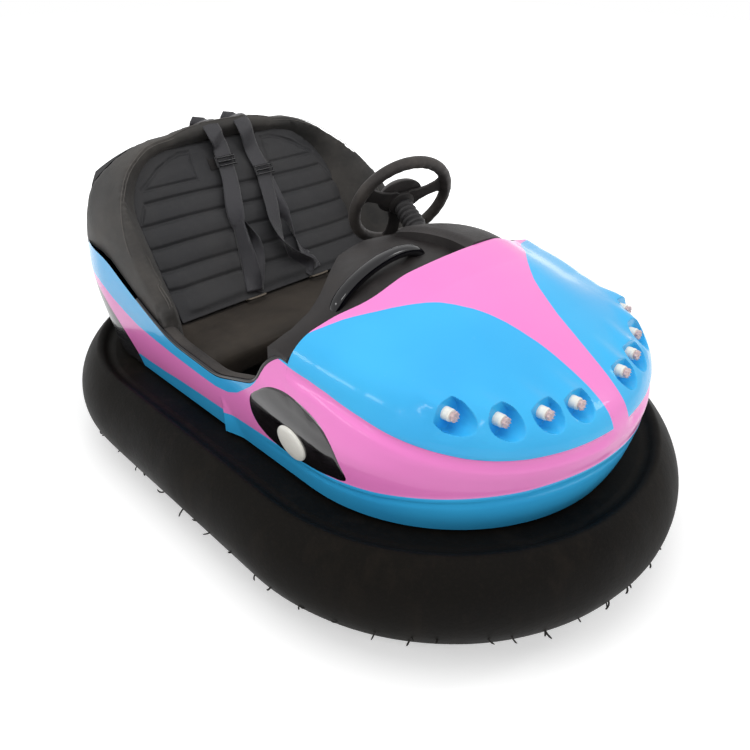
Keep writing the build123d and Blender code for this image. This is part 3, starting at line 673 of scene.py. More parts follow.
CAD_LOOKS = {
    "black_steel": "ring_hoop chassis_frame tie_down_lugs floor_pan seat_base drive_fork turntable_bridge"
                   " axle_hangers jack_pads",
    "dark_panel": "deck_ring seat_shell rear_panel",
    "steel": "steering_shaft",
    "aluminium": "gear_housing drive_hub drive_motor rear_hub_left rear_hub_right",
    "solid_rubber": "drive_tyre rear_tyre_left rear_tyre_right accelerator_pedal",
    "battery": "battery_block",
    "brass": "tyre_valve",
    "carpet": "footwell_tub",
    "dash": "dash_panel",
    "cowl": "driver_cowl",
    "gloss": "cockpit_trim grab_handle horn_pad belt_sliders",
    "flange": "cockpit_flange",
    "wheel": "steering_wheel",
    "grip": "steering_grip",
    "boot": "column_boot",
    "white": "motif_hubs lamp_holders",
    "lamp": "lamp_caps",
    "motif": "wheel_motifs",
    "webbing": "belt_right belt_left belt_anchors",
    "vinyl": "seat_back",
    "border": "seat_surround",
    "cushion": "seat_cushion",
    "paint": "body_shell",
    "rubber": "bumper_tyre",
}


# ------------------------------------------------------------------ settings shown in the sidebar
class BumperColours(bpy.types.PropertyGroup):
    """The shell's two colours"""
    pink: bpy.props.FloatVectorProperty(
        name="Pink", description="Main body colour",
        subtype="COLOR", size=3, min=0, max=1, default=srgb(248, 141, 212)[:3])
    blue: bpy.props.FloatVectorProperty(
        name="Blue", description="Colour of the leaves, stripe and lower band",
        subtype="COLOR", size=3, min=0, max=1, default=srgb(64, 188, 245)[:3])


class BumperSizes(bpy.types.PropertyGroup):
    """Sizes of small detail"""
    pocket_radius: bpy.props.FloatProperty(
        name="Lamp pocket radius", description="Radius of each lamp's pocket", default=0.036, unit="LENGTH")
    hair_count: bpy.props.IntProperty(
        name="Vent hairs", description="Rubber hairs round the ring", default=66)
    hair_length: bpy.props.FloatProperty(
        name="Hair length", description="Length of a vent hair", default=0.017, unit="LENGTH")


# ------------------------------------------------------------------ stage
PANELS = (                         # place, aim, width, height, watts
    ((0.3, -0.5, 3.2), (0.1, 0.0, 0.4), 2.6, 2.6, 39.56),
    ((2.6, -1.2, 2.4), (0.3, 0.0, 0.4), 0.9, 0.35, 10.32),
    ((2.2, 1.9, 2.2), (0.4, 0.0, 0.4), 0.35, 0.9, 7.74),
    ((-0.4, -2.8, 2.0), (0.0, 0.0, 0.4), 1.2, 0.3, 8.6),
)
CAMERA_PLACE = (1.3922, -1.2744, 1.4052)
CAMERA_ANGLES = (135.335, 31.147, 0.344)             # heading, pitch down and roll, in degrees
CAMERA_LENS, CAMERA_SHIFT = 34.816, (-0.00743, -0.00813)
FLOOR_COLOUR, FLOOR_GLOW, WORLD_LIGHT = (0.86, 0.86, 0.86, 1), 0.42, 0.55
WHITE = (1, 1, 1, 1)


class BUMPER_OT_stage(bpy.types.Operator):
    """Floor, soft lights and the camera"""
    bl_idname = "bumper.stage"
    bl_label = "Stage"

    def execute(self, context):
        context.scene.view_settings.view_transform = "Standard"
        self.floor()
        self.world(context.scene)
        self.lights()
        self.camera(context.scene)
        return {"FINISHED"}

    def floor(self):
        """A plain pale floor that keeps the shadow and fades to white."""
        bm = bmesh.new()
        bmesh.ops.create_grid(bm, x_segments=2, y_segments=2, size=14)
        mesh = write_back(bm, bpy.data.meshes.new("floor"))
        look = Look("floor", Base_Color=FLOOR_COLOUR, Roughness=0.9, Specular_IOR_Level=0.0,
                    Emission_Color=WHITE)
        away = look.node("VectorMath", {0: look.coords}, operation="LENGTH").outputs["Value"]
        glow = look.span(away, 1.25, 2.4, FLOOR_GLOW, 1.0)
        look.put("Emission Strength", look.sum("MULTIPLY", look.seen_rays(), glow))
        mesh.materials.append(look.mat)
        floor = add_object("floor", mesh)
        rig.stage(floor)

    def world(self, scene):
        """White where it is seen, dimmer where it only lights."""
        scene.world = bpy.data.worlds.new("studio")
        scene.world.use_nodes = True
        tree = Tree(scene.world.node_tree)
        back = tree.nodes["Background"].inputs
        tree.feed(back["Color"], WHITE)
        tree.feed(back["Strength"], tree.span(tree.seen_rays(), 0.0, 1.0, WORLD_LIGHT, 1.0))

    def lights(self):
        """Soft rectangular lights; only the large one overhead stays out of reflections."""
        for number, (place, aim, width, height, watts) in enumerate(PANELS):
            data = bpy.data.lights.new(f"panel_{number}", "AREA")
            data.shape, data.size, data.size_y, data.energy = "RECTANGLE", width, height, watts
            lamp = add_object(f"panel_{number}", data)
            lamp.location = place
            lamp.visible_glossy = number > 0
            lamp.rotation_euler = (Vector(aim) - Vector(place)).to_track_quat("-Z", "Y").to_euler()

    def camera(self, scene):
        """The camera, from its place and its three angles."""
        data = bpy.data.cameras.new("view")
        data.sensor_width, data.lens = 36.0, CAMERA_LENS
        data.shift_x, data.shift_y = CAMERA_SHIFT
        yaw, pitch, roll = (math.radians(angle) for angle in CAMERA_ANGLES)
        ahead = Vector((math.cos(pitch) * math.cos(yaw), math.cos(pitch) * math.sin(yaw), -math.sin(pitch)))
        level = Vector((math.sin(yaw), -math.cos(yaw), 0.0))
        above = level.cross(ahead)
        right = math.cos(roll) * level + math.sin(roll) * above
        up = math.cos(roll) * above - math.sin(roll) * level
        turn = Matrix((right, up, -ahead)).transposed().to_4x4()
        scene.camera = add_object("view", data)
        scene.camera.matrix_world = Matrix.Translation(CAMERA_PLACE) @ turn


# ------------------------------------------------------------------ painted shell
LAMPS = (                          # place of each lamp on the left side, and its brow's height
    ((0.784, 0.092, 0.560), 0.010),
    ((0.762, 0.176, 0.563), 0.011),
    ((0.717, 0.264, 0.566), 0.013),
    ((0.645, 0.339, 0.580), 0.017),
)
LAMP_TILT = math.radians(4)
LAMP_FACE = Vector((math.cos(LAMP_TILT), 0, math.sin(LAMP_TILT)))
AHEAD = Vector((1, 0, 0))
PLATE_BEHIND = 0.015               # each lamp's round back plate, behind the lamp's middle
TROUGH_START, TROUGH_LENGTH = 0.022, 0.082
BROW_LENGTH, BROW_WIDTH = 0.085, 0.030
TAIL_X, TAIL_HALF = -0.560, 0.20   # where the shell's rear corners start, and half the straight tail
SIDE_COLUMNS, CORNER_COLUMNS, TAIL_COLUMNS, WALL_ROWS = 104, 52, 45, 44


def lamp_spots():
    """Every lamp's place and its brow's height."""
    for (x, y, z), brow in LAMPS:
        for side in (-1, 1):
            yield Vector((x, side * y, z)), brow


def relief(p):
    """How far the shell's detail stands out of its plain surface, at points p."""
    x, y, z = p[..., 0], np.abs(p[..., 1]), p[..., 2]
    under = along(UPPER_CREASE, x) - z
    near = smooth(0.31, 0.40, x) * smooth(0.02, 0.07, y)
    groove = -0.006 * smooth(0.0, 0.006, under) * (1 - smooth(0.012, 0.034, under))
    lip = -0.0012 * bell(under, 0.004) + 0.002 * bell(under - 0.042, 0.024)
    below = along(LOWER_LINE, x) - z
    ridge = 0.0025 * bell(below - 0.007, 0.006) - 0.0028 * bell(below - 0.020, 0.007)
    ridge = ridge * smooth(0.10, 0.45, x)
    return (groove + lip) * near + ridge


def grid_normals(p):
    """Unit normals of a grid of points, across then up."""
    du = np.gradient(p, axis=0)
    dv = np.gradient(p, axis=1)
    n = np.cross(du, dv)
    return n / np.maximum(np.linalg.norm(n, axis=2, keepdims=True), 1e-9)


class BUMPER_OT_shell(bpy.types.Operator):
    """Painted glass-fibre shell with its lamp pockets"""
    bl_idname = "bumper.shell"
    bl_label = "Painted shell"

    across = 240
    samples = 260
    lamp_mask = (0.052, 0.09)      # radius and half length round each lamp where the plain shell isn't read
    row_counts = (16, 34, 92)      # rows below the lower border line, between the two lines, and above

    def execute(self, context):
        self.radius = context.scene.bumper_sizes.pocket_radius
        tree = skin_tree("body_shell", "rear_panel")
        bm = bmesh.new()
        self.plain = bm.verts.layers.float_vector.new("plain")
        self.nose(bm, tree)
        self.wall(bm, tree)
        bmesh.ops.remove_doubles(bm, verts=bm.verts, dist=2e-4)
        add_mesh("painted_shell", bm, "paint", replaces=("body_shell", "rear_panel"), slot="body_paint",
                 recalc=False, sharp=50)
        return {"FINISHED"}

    def cast(self, tree, origin, way, least=0.0):
        """How far out the shell is along a ray, tried a hair aside where the ray slips through."""
        for nudge in (0.0, 3e-4, -3e-4, 9e-4):
            hit = tree.ray_cast(origin + Vector((nudge, nudge, 0)) + way * 1.5, -way)[0]
            if hit is not None and (hit - origin).dot(way) > least:
                return (hit - origin).dot(way)
        return None

    def nose(self, bm, tree):
        """The hood and nose, read along rays from the middle of the hood's rear edge."""
        origin = Vector((HOOD_REAR, 0, SHELL_BASE))
        n, m = self.across, self.samples
        reach = np.full((n + 1, m + 1), np.nan)
        ways = np.zeros((n + 1, m + 1, 3))
        for i in range(n + 1):
            for j in range(m + 1):
                way = Vector(self.way(math.pi * (i / n - 0.5), math.pi / 2 * j / m))
                ways[i, j] = way
                got = self.cast(tree, origin, way)
                if got is not None:
                    reach[i, j] = got
        points = np.array(origin) + ways * reach[..., None]
        round_lamp, along_lamp = self.lamp_mask
        for place, _ in lamp_spots():
            out = Vector((place.x - HOOD_REAR, place.y * 0.8, 0)).normalized()
            level = np.array((out + Vector((0, 0, 0.55))).normalized())
            rel = points - np.array(place)
            ahead = rel @ level
            aside = np.linalg.norm(rel - ahead[..., None] * level, axis=2)
            reach[(aside < round_lamp) & (np.abs(ahead) < along_lamp)] = np.nan
        fill_gaps(reach)
        rows = self.rows(origin, ways, reach)
        grid = np.zeros((n + 1, len(rows[0]), 3))
        lifts = np.linspace(0, math.pi / 2, m + 1)
        for i, lift in enumerate(rows):
            out = np.interp(lift, lifts, reach[i])[:, None]
            grid[i] = np.array(origin) + out * self.way(math.pi * (i / n - 0.5), lift)
        self.skin(bm, grid, pole=True)
        self.pockets(bm)

    def way(self, heading, lift):
        """The way out at a heading and one lift angle or many."""
        level = np.cos(lift)
        return np.stack((level * math.cos(heading), level * math.sin(heading), np.sin(lift)), -1)

    def skin(self, bm, plain, pole):
        """A grid of the plain shell, drawn to its form with its relief; corners keep their plain place."""
        grid = body_form(plain)
        up = grid_normals(grid)
        if pole:
            up[:, -2:] = (0, 0, 1)
        grid += up * relief(plain)[..., None]
        across, rows = grid.shape[0] - 1, grid.shape[1] - 1
        marks = {}

        def place(i, j):
            spot = Vector(grid[i, j])
            marks[spot.freeze()] = plain[i, j]
            return spot
        for v in sheet_form(bm, across, rows, place, merge=0):
            v[self.plain] = marks[v.co.copy().freeze()]

    def rows(self, origin, ways, reach):
        """Lift angles of each column's rows, so that rows follow the two border lines."""
        lifts = np.linspace(0, math.pi / 2, reach.shape[1])
        rows = []
        for i in range(reach.shape[0]):
            p = np.array(origin) + ways[i] * reach[i][:, None]
            marks = []
            for table in (LOWER_LINE, UPPER_CREASE):
                over = p[:, 2] - along(table, p[:, 0])
                k = int(np.argmax(over > 0))
                a, b = over[k - 1], over[k]
                marks.append(lifts[k - 1] + (lifts[k] - lifts[k - 1]) * (-a) / (b - a))
            stops = (0, *marks, math.pi / 2)
            parts = [np.linspace(a, b, count) for a, b, count in zip(stops, stops[1:], self.row_counts)]
            rows.append(np.concatenate([parts[0][:-1], parts[1][:-1], parts[2]]))
        return rows

    def pockets(self, bm):
        """Swells a brow behind each lamp, then scoops its pocket out of the surface."""
        tight = set()
        for place, _ in lamp_spots():
            middle = place + AHEAD * 0.025
            tight.update(v for v in bm.verts if (v.co - middle).length < 0.085)
        edges = {e for v in tight for e in v.link_edges if e.other_vert(v) in tight}
        bmesh.ops.subdivide_edges(bm, edges=list(edges), cuts=3, use_grid_fill=True, smooth=0.0)
        bm.normal_update()
        work = []
        for place, brow in lamp_spots():
            near = [v for v in bm.verts if (v.co - place).length < 0.14]
            level = sum((v.normal for v in near if (v.co - place).length < 0.06), Vector()).normalized()
            level = level if level.z >= 0 else -level
            aside_way = level.cross(AHEAD).normalized()
            rise = aside_way.cross(AHEAD).normalized()
            rise = rise if rise.z >= 0 else -rise
            plate = place - LAMP_FACE * PLATE_BEHIND
            for v in near:
                aft, aside = -(v.co - plate).dot(AHEAD), (v.co - plate).dot(aside_way)
                fade = min(1.0, max(0.0, 1 - aft / BROW_LENGTH))
                wide = BROW_WIDTH * (0.45 + 0.55 * fade)
                swell = brow * fade ** 1.4 * bell(aside, wide) * float(smooth(-0.030, 0.004, aft))
                work.append((v, level * float(swell), plate, level, aside_way, rise))
        for v, swell, *_ in work:
            v.co += swell
        drops = [(v, level * scoop(v.co - plate, level, aside_way, rise, self.radius))
                 for v, _, plate, level, aside_way, rise in work]
        for v, drop in drops:
            v.co -= drop

    def wall(self, bm, tree):
        """The shell behind the hood, from one side round the tail to the other."""
        columns = []
        for k in range(SIDE_COLUMNS):
            x = min(HOOD_REAR - 0.0015, HOOD_REAR + (TAIL_X - HOOD_REAR) * k / SIDE_COLUMNS)
            columns.append((Vector((x, 0, 0)), Vector((0, -1, 0))))
        for k in range(CORNER_COLUMNS):
            a = math.pi / 2 * k / CORNER_COLUMNS
            columns.append((Vector((TAIL_X, -TAIL_HALF, 0)), Vector((-math.sin(a), -math.cos(a), 0))))
        right = columns[:]
        for k in range(TAIL_COLUMNS):
            y = -TAIL_HALF + 2 * TAIL_HALF * k / (TAIL_COLUMNS - 1)
            columns.append((Vector((TAIL_X, y, 0)), Vector((-1, 0, 0))))
        columns += [(Vector((o.x, -o.y, 0)), Vector((w.x, -w.y, 0))) for o, w in reversed(right)]
        grid = np.zeros((len(columns), WALL_ROWS + 1, 3))
        for i, (origin, way) in enumerate(columns):
            def reach(z):
                return self.cast(tree, origin + Vector((0, 0, z)), way, 0.2)
            top = highest(lambda z: reach(z) is not None, 0.42, 0.74, 18) - 0.0003
            heights = [SHELL_BASE + (top - SHELL_BASE) * j / WALL_ROWS for j in range(WALL_ROWS + 1)]
            found = [(z, got) for z, got in ((z, reach(z)) for z in heights) if got is not None]
            outs = np.interp(heights, *zip(*found))
            for j, (z, out) in enumerate(zip(heights, outs)):
                grid[i, j] = origin + Vector((0, 0, z)) + way * out
        grid[[0, -1], :, 0] = HOOD_REAR
        self.skin(bm, grid[::-1], pole=False)


def fill_gaps(reach, rounds=900):
    """Fills the gaps in a grid evenly from what is round them."""
    gaps = np.isnan(reach)
    reach[gaps] = np.interp(np.flatnonzero(gaps), np.flatnonzero(~gaps), reach[~gaps])
    for _ in range(rounds):
        pad = np.pad(reach, 1, mode="edge")
        mean = (pad[:-2, 1:-1] + pad[2:, 1:-1] + pad[1:-1, :-2] + pad[1:-1, 2:]) / 4
        reach[gaps] = mean[gaps]


def scoop(rel, level, aside_way, rise, radius):
    """How deep a pocket goes under a surface point: a trough that runs ahead from a round plate."""
    run, aside, high = rel.dot(AHEAD), rel.dot(aside_way), rel.dot(rise)
    width = radius * math.sqrt(max(0.0, 1 - max(0.0, run - TROUGH_START) / TROUGH_LENGTH))
    if rel.dot(LAMP_FACE) <= 0 or abs(aside) >= width:
        return 0.0
    round_off = width * math.sqrt(1 - (aside / width) ** 2)
    if abs(high) >= round_off:
        return 0.0
    to_floor = (high + round_off) / max(0.15, rise.dot(level))
    to_plate = rel.dot(LAMP_FACE) / max(0.05, level.dot(LAMP_FACE))
    return min(to_floor, to_plate)


# ------------------------------------------------------------------ sweeps and padded pieces
def glide(points, count):
    """Evenly counted points on a smooth line through the given ones."""
    p = np.array(points, float)
    p = np.vstack([2 * p[0] - p[1], p, 2 * p[-1] - p[-2]])
    out = []
    for s in np.linspace(0, len(points) - 1 - 1e-9, count + 1):
        k = int(s)
        t = s - k
        a, b, c, d = p[k:k + 4]
        out.append(0.5 * (2 * b + (c - a) * t + (2 * a - 5 * b + 4 * c - d) * t * t
                          + (3 * b - a - 3 * c + d) * t ** 3))
    return np.array(out)


def unit(v):
    """Vectors drawn to length 1."""
    return v / np.maximum(np.linalg.norm(v, axis=-1, keepdims=True), 1e-12)


def line_frames(path, up):
    """Tangents, sideways and upward directions along a path, upward kept near the given way."""
    ahead = unit(np.gradient(path, axis=0))
    side = unit(np.cross(np.broadcast_to(np.array(up, float), ahead.shape), ahead))
    return ahead, side, np.cross(ahead, side)


def bar(bm, path, ring, up=(0, 0, 1), sizes=None):
    """Carries a closed ring of (aside, up) points along a path, scaled by sizes at each station."""
    ahead, side, rise = line_frames(path, up)
    ring = np.array(ring, float)
    sizes = np.ones(len(path)) if sizes is None else np.array(sizes, float)
    spots = (path[:, None] + side[:, None] * ring[None, :, :1] * sizes[:, None, None]
             + rise[:, None] * ring[None, :, 1:] * sizes[:, None, None])
    n, m = len(path) - 1, len(ring)
    made = sheet_form(bm, m, n, lambda i, j: Vector(spots[j, i % m]), merge=1e-6)
    fill_ends(bm, made)


def fill_ends(bm, verts):
    """Closes the open rims at some corners."""
    bmesh.ops.holes_fill(bm, edges=[e for e in edges_of(verts) if len(e.link_faces) == 1], sides=0)


def oval(width, height, count, power=2.0):
    """A ring of points on an oval, squarer with a higher power."""
    out = []
    for k in range(count):
        a = 2 * math.pi * k / count
        c, s = math.cos(a), math.sin(a)
        out.append((width / 2 * math.copysign(abs(c) ** (2 / power), c),
                    height / 2 * math.copysign(abs(s) ** (2 / power), s)))
    return out


CLOTH_FRAMES, CLOTH_STIFFNESS = 20, 18
CLOTH_REACH = 0.004                # how far a padded form may end up from its node


def soft_copy(node, name, voxel, shrink, pressure, cap, rounds, smooth_after, swell=None):
    """A padded form grown from a CAD node: remeshed, softened, blown up as cloth and held near the node."""
    bm = bmesh_of(NODES[node].data)
    bmesh.ops.remove_doubles(bm, verts=bm.verts, dist=1e-5)
    obj = add_object(name, write_back(bm, bpy.data.meshes.new(name)))
    remesh = obj.modifiers.new("voxel", "REMESH")
    remesh.mode, remesh.voxel_size, remesh.adaptivity = "VOXEL", voxel, 0.0
    settle(obj)
    plain = corners(obj.data)
    if swell:
        plain = swell(plain, np.array([v.normal for v in obj.data.vertices]))
        obj.data.vertices.foreach_set("co", plain.ravel())
    bm = bmesh_of(obj.data)
    soften(bm, rounds)
    thicken(bm, -shrink)
    write_back(bm, obj.data)
    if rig.quick():
        bm = bmesh_of(obj.data)
        thicken(bm, shrink)
        write_back(bm, obj.data)
    else:
        blow_up(obj, pressure, cap)
    bm = bmesh_of(obj.data)
    soften(bm, smooth_after)
    for _ in range(3):
        for v, spot in zip(bm.verts, map(Vector, plain)):
            away = (spot - v.co).length
            if away > CLOTH_REACH:
                v.co = v.co.lerp(spot, 1 - CLOTH_REACH / away)
        soften(bm, 1)
    mesh = write_back(bm, obj.data)
    bpy.data.objects.remove(obj)
    return mesh


def blow_up(obj, pressure, cap):
    """Runs a form as cloth under pressure from inside; no corner moves further than the cap."""
    rest = corners(obj.data)
    cloth = obj.modifiers.new("cloth", "CLOTH").settings
    cloth.use_pressure = True
    cloth.uniform_pressure_force = pressure
    cloth.effector_weights.gravity = 0
    cloth.tension_stiffness = cloth.compression_stiffness = CLOTH_STIFFNESS
    scene = bpy.context.scene
    for frame in range(1, CLOTH_FRAMES + 1):
        scene.frame_set(frame)
    settle(obj)
    scene.frame_set(1)
    moved = corners(obj.data) - rest
    far = np.linalg.norm(moved, axis=1, keepdims=True)
    moved *= np.minimum(1, cap / np.maximum(far, 1e-9))
    obj.data.vertices.foreach_set("co", (rest + moved).ravel())


def settle(obj):
    """Applies an object's modifiers to its mesh."""
    graph = bpy.context.evaluated_depsgraph_get()
    made = bpy.data.meshes.new_from_object(obj.evaluated_get(graph))
    old = obj.data
    obj.modifiers.clear()
    obj.data = made
    bpy.data.meshes.remove(old)


def pad_piece(mesh, name, look_name, node, shape, fill):
    """Divides a soft form once, gives it its sewn shape and makes it a padded piece."""
    bm = bmesh_of(mesh)
    bmesh.ops.subdivide_edges(bm, edges=bm.edges, cuts=1, use_grid_fill=True, smooth=0.0)
    soften(bm, 2)
    bm.normal_update()
    normals = np.array([v.normal for v in bm.verts])
    for v, spot in zip(bm.verts, shape(corners(bm), normals)):
        v.co = spot
    obj = add_mesh(name, bm, look_name, replaces=(node,), slot="vinyl", recalc=False, sharp=180)
    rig.padded(obj, fill=fill)


def hash_waves(p, scale, seed):
    """Smooth unevenness over points, the same every run."""
    source = random.Random(seed)
    total = np.zeros(p.shape[:-1])
    for k in range(7):
        way = np.array([source.gauss(0, 1) for _ in range(3)])
        total += np.sin(p @ (way * scale) + source.uniform(0, 6.3)) / 7
    return total


# ------------------------------------------------------------------ rubber ring
TAIL_RADIUS = 0.600                # the ring's rear corners, in plan


def ring_plan():
    """The ring's plan: its front radius, where its front and rear arcs are centred, and half its tail."""
    low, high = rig.box("bumper_tyre")
    return high.y, high.x - high.y, low.x + TAIL_RADIUS, high.y - TAIL_RADIUS


def ring_profile():
    """The ring's moulded section as (outward from the core, height)."""
    h, foot, waist = 0.135, 0.045, 0.1646          # half width, height of the foot and of the widest line
    up_r, low_r = 0.1743, 0.1206                   # radii of the outer face above and below that line
    points = []
    for k in range(21):
        a = math.radians(53.7) * k / 20
        points.append((h - up_r + up_r * math.cos(a), waist + up_r * math.sin(a)))
    points += [(0.058, 0.3045), (0.050, 0.3005), (0.044, 0.294), (0.039, 0.2885), (0.032, 0.2855),
               (0.024, 0.2845), (0.018, 0.2858), (0.012, 0.2842), (-0.01, 0.2822), (-0.04, 0.2788),
               (-0.052, 0.2790), (-0.058, 0.2768), (-0.085, 0.2730)]
    for k in range(1, 9):
        a = math.pi / 2 * k / 8
        points.append((-h + 0.05 - 0.05 * math.sin(a), 0.223 + 0.05 * math.cos(a)))
    points.append((-h, 0.16))
    for k in range(9):
        a = math.pi / 2 * k / 8
        points.append((-h + 0.065 - 0.065 * math.cos(a), foot + 0.065 - 0.065 * math.sin(a)))
    points.append((-0.02, foot))
    low = []
    for k in range(13):
        a = math.radians(82.6) * k / 12
        bead = 0.0016 if k in (5, 8) else 0.0
        low.append((h - low_r + (low_r + bead) * math.cos(a), waist - (low_r + bead) * math.sin(a)))
    points += list(reversed(low[1:]))
    return points


class BUMPER_OT_ring(bpy.types.Operator):
    """Rubber ring: its moulded section carried round the plan"""
    bl_idname = "bumper.ring"
    bl_label = "Rubber ring"

    def execute(self, context):
        radius, front_x, tail_x, tail_y = ring_plan()
        core = radius - 0.135
        bm = bmesh.new()
        verts = [bm.verts.new((front_x + core + o, 0, z)) for o, z in ring_profile()]
        edges = [bm.edges.new((a, b)) for a, b in zip(verts, verts[1:] + verts[:1])]
        edges = self.bend(bm, edges, (front_x, 0, 0), 60)
        edges = self.run(bm, edges, Vector((tail_x - front_x, 0, 0)), 40)
        edges = self.bend(bm, edges, (tail_x, -tail_y, 0), 44)
        self.run(bm, edges, Vector((0, tail_y, 0)), 4)
        bmesh.ops.remove_doubles(bm, verts=bm.verts, dist=1e-6)
        bmesh.ops.mirror(bm, geom=bm.verts[:] + bm.edges[:] + bm.faces[:], axis="Y", merge_dist=1e-4)
        bmesh.ops.remove_doubles(bm, verts=bm.verts, dist=1e-5)
        bmesh.ops.recalc_face_normals(bm, faces=bm.faces)
        bm.normal_update()
        for v, wave in zip(bm.verts, hash_waves(corners(bm), 14, 3)):
            v.co += v.normal * 0.0011 * (wave - 1)
        add_mesh("rubber_ring", bm, "rubber", replaces=("bumper_tyre",), slot="tyre", sharp=50)
        return {"FINISHED"}

    def bend(self, bm, edges, centre, steps):
        """Carries the section a quarter turn round a centre."""
        verts = list({v for e in edges for v in e.verts})
        got = bmesh.ops.spin(bm, geom=verts + edges, cent=centre, axis=(0, 0, 1), angle=-math.pi / 2,
                             steps=steps)
        return only_edges(got["geom_last"])

    def run(self, bm, edges, way, steps):
        """Carries the section straight on."""
        for _ in range(steps):
            got = bmesh.ops.extrude_edge_only(bm, edges=edges)["geom"]
            bmesh.ops.translate(bm, verts=only_verts(got), vec=way / steps)
            edges = [e for e in only_edges(got) if all(v in got for v in e.verts) and len(e.link_faces) == 1]
        return edges


class BUMPER_OT_hairs(bpy.types.Operator):
    """Rubber vent hairs left round the ring's lower edge"""
    bl_idname = "bumper.hairs"
    bl_label = "Vent hairs"

    def execute(self, context):
        source = random.Random(11)
        sizes = context.scene.bumper_sizes
        legs = self.legs()
        total = sum(length for length, *_ in legs)
        bm = bmesh.new()
        for k in range(sizes.hair_count):
            s = total * (k + source.uniform(-0.22, 0.22)) / sizes.hair_count
            place, out = self.station(legs, s % total)
            for _ in range(2 if source.random() < 0.3 else 1):
                drop = source.uniform(0.45, 1.0)
                base = place - out * (0.012 + 0.010 * drop) + Vector((0, 0, 0.148 - 0.045 * drop))
                way = (out + Vector((source.uniform(-0.4, 0.4), source.uniform(-0.4, 0.4),
                                     source.uniform(-0.8, 0.1)))).normalized()
                self.hair(bm, base, way, 0.010 + sizes.hair_length * source.uniform(0.4, 1.1), source)
        add_mesh("vent_hairs", bm, "hair", slot="tyre")
        return {"FINISHED"}

    def legs(self):
        """The ring's plan leg by leg: length, arc centre, radius and angle of its start, or straight way."""
        radius, front_x, tail_x, tail_y = ring_plan()
        side, quarter = front_x - tail_x, math.pi / 2
        corner = quarter * TAIL_RADIUS
        return (
            (math.pi * radius, (front_x, 0), radius, -quarter, None),
            (side, (front_x, 0), radius, quarter, (-1, 0, 0)),
            (corner, (tail_x, tail_y), TAIL_RADIUS, quarter, None),
            (2 * tail_y, (tail_x, tail_y), TAIL_RADIUS, math.pi, (0, -1, 0)),
            (corner, (tail_x, -tail_y), TAIL_RADIUS, math.pi, None),
            (side, (tail_x, 0), radius, -quarter, (1, 0, 0)),
        )

    def station(self, legs, s):
        """A point on the ring's widest line and the way out of it."""
        k = 0
        while k < len(legs) - 1 and s > legs[k][0]:
            s -= legs[k][0]
            k += 1
        _, (x, y), radius, angle, straight = legs[k]
        if straight is None:
            angle += s / radius
        out = Vector((math.cos(angle), math.sin(angle), 0))
        place = Vector((x, y, 0)) + out * radius
        return (place if straight is None else place + Vector(straight) * s), out

    def hair(self, bm, base, way, length, source):
        """One thin curled hair: a small ring spun about an axis beside it."""
        thick = source.uniform(0.0017, 0.0025)
        bend = source.uniform(0.5, 2.2)
        ring = bmesh.ops.create_circle(bm, cap_ends=False, radius=thick, segments=5)["verts"]
        got = bmesh.ops.spin(bm, geom=ring + edges_of(ring), cent=(length / bend, 0, 0), axis=(0, -1, 0),
                             angle=-bend, steps=5)
        last = only_verts(got["geom_last"])
        bmesh.ops.scale(bm, vec=(0.5, 0.5, 0.5), verts=last,
                        space=Matrix.Translation(-sum((v.co for v in last), Vector()) / len(last)))
        reached, todo = set(ring), list(ring)
        while todo:
            for e in todo.pop().link_edges:
                for v in e.verts:
                    if v not in reached:
                        reached.add(v)
                        todo.append(v)
        fill_ends(bm, reached)
        turn = frame_at(base, way) @ Matrix.Rotation(source.uniform(0, 6.3), 4, "Z")
        bmesh.ops.transform(bm, matrix=turn, verts=list(reached))


# ------------------------------------------------------------------ lamps
class BUMPER_OT_lamps(bpy.types.Operator):
    """Eight lamp holders with ribbed caps, each standing in its pocket"""
    bl_idname = "bumper.lamps"
    bl_label = "Lamps"

    holder_profile = ((0.0, -0.018), (0.0142, -0.018), (0.0142, -0.006), (0.0136, -0.005), (0.0136, -0.0025),
                      (0.0141, -0.002), (0.0141, 0.0005), (0.0134, 0.001), (0.0134, 0.0035),
                      (0.0128, 0.0045), (0.0100, 0.0048), (0.0, 0.0048))
    cap_profile = ((0.0, 0.0045), (0.0088, 0.0046), (0.0088, 0.0075), (0.0104, 0.0078), (0.0112, 0.0092),
                   (0.0114, 0.0116), (0.0108, 0.0132), (0.0080, 0.0140), (0.0040, 0.0136),
                   (0.0030, 0.0122), (0.0, 0.0120))

    def execute(self, context):
        holders, caps = bmesh.new(), bmesh.new()
        for number, (place, _) in enumerate(lamp_spots()):
            here = frame_at(place, LAMP_FACE) @ Matrix.Rotation(0.7 * number, 4, "Z")
            part = bmesh.new()
            turned(part, self.holder_profile, 40)
            join_part(holders, part, here)
            part = bmesh.new()
            turned(part, self.cap_profile, 48)
            for v in part.verts:
                if math.hypot(v.co.x, v.co.y) > 0.006 and v.co.z > 0.0075:
                    rib = 1 + 0.09 * math.cos(8 * math.atan2(v.co.y, v.co.x))
                    v.co.x *= rib
                    v.co.y *= rib
            for k in range(8):
                a = math.pi / 4 * k
                nib = bmesh.ops.create_cone(part, cap_ends=True, segments=6, radius1=0.0011, radius2=0.0005,
                                            depth=0.0035)["verts"]
                bmesh.ops.translate(part, verts=nib,
                                    vec=(0.0098 * math.cos(a), 0.0098 * math.sin(a), 0.0145))
            join_part(caps, part, here)
        add_mesh("lamp_holders_ribbed", holders, "white", replaces=("lamp_holders",), slot="white_plastic")
        add_mesh("lamp_caps_ribbed", caps, "lamp", replaces=("lamp_caps",), slot="lamp_plastic")
        return {"FINISHED"}


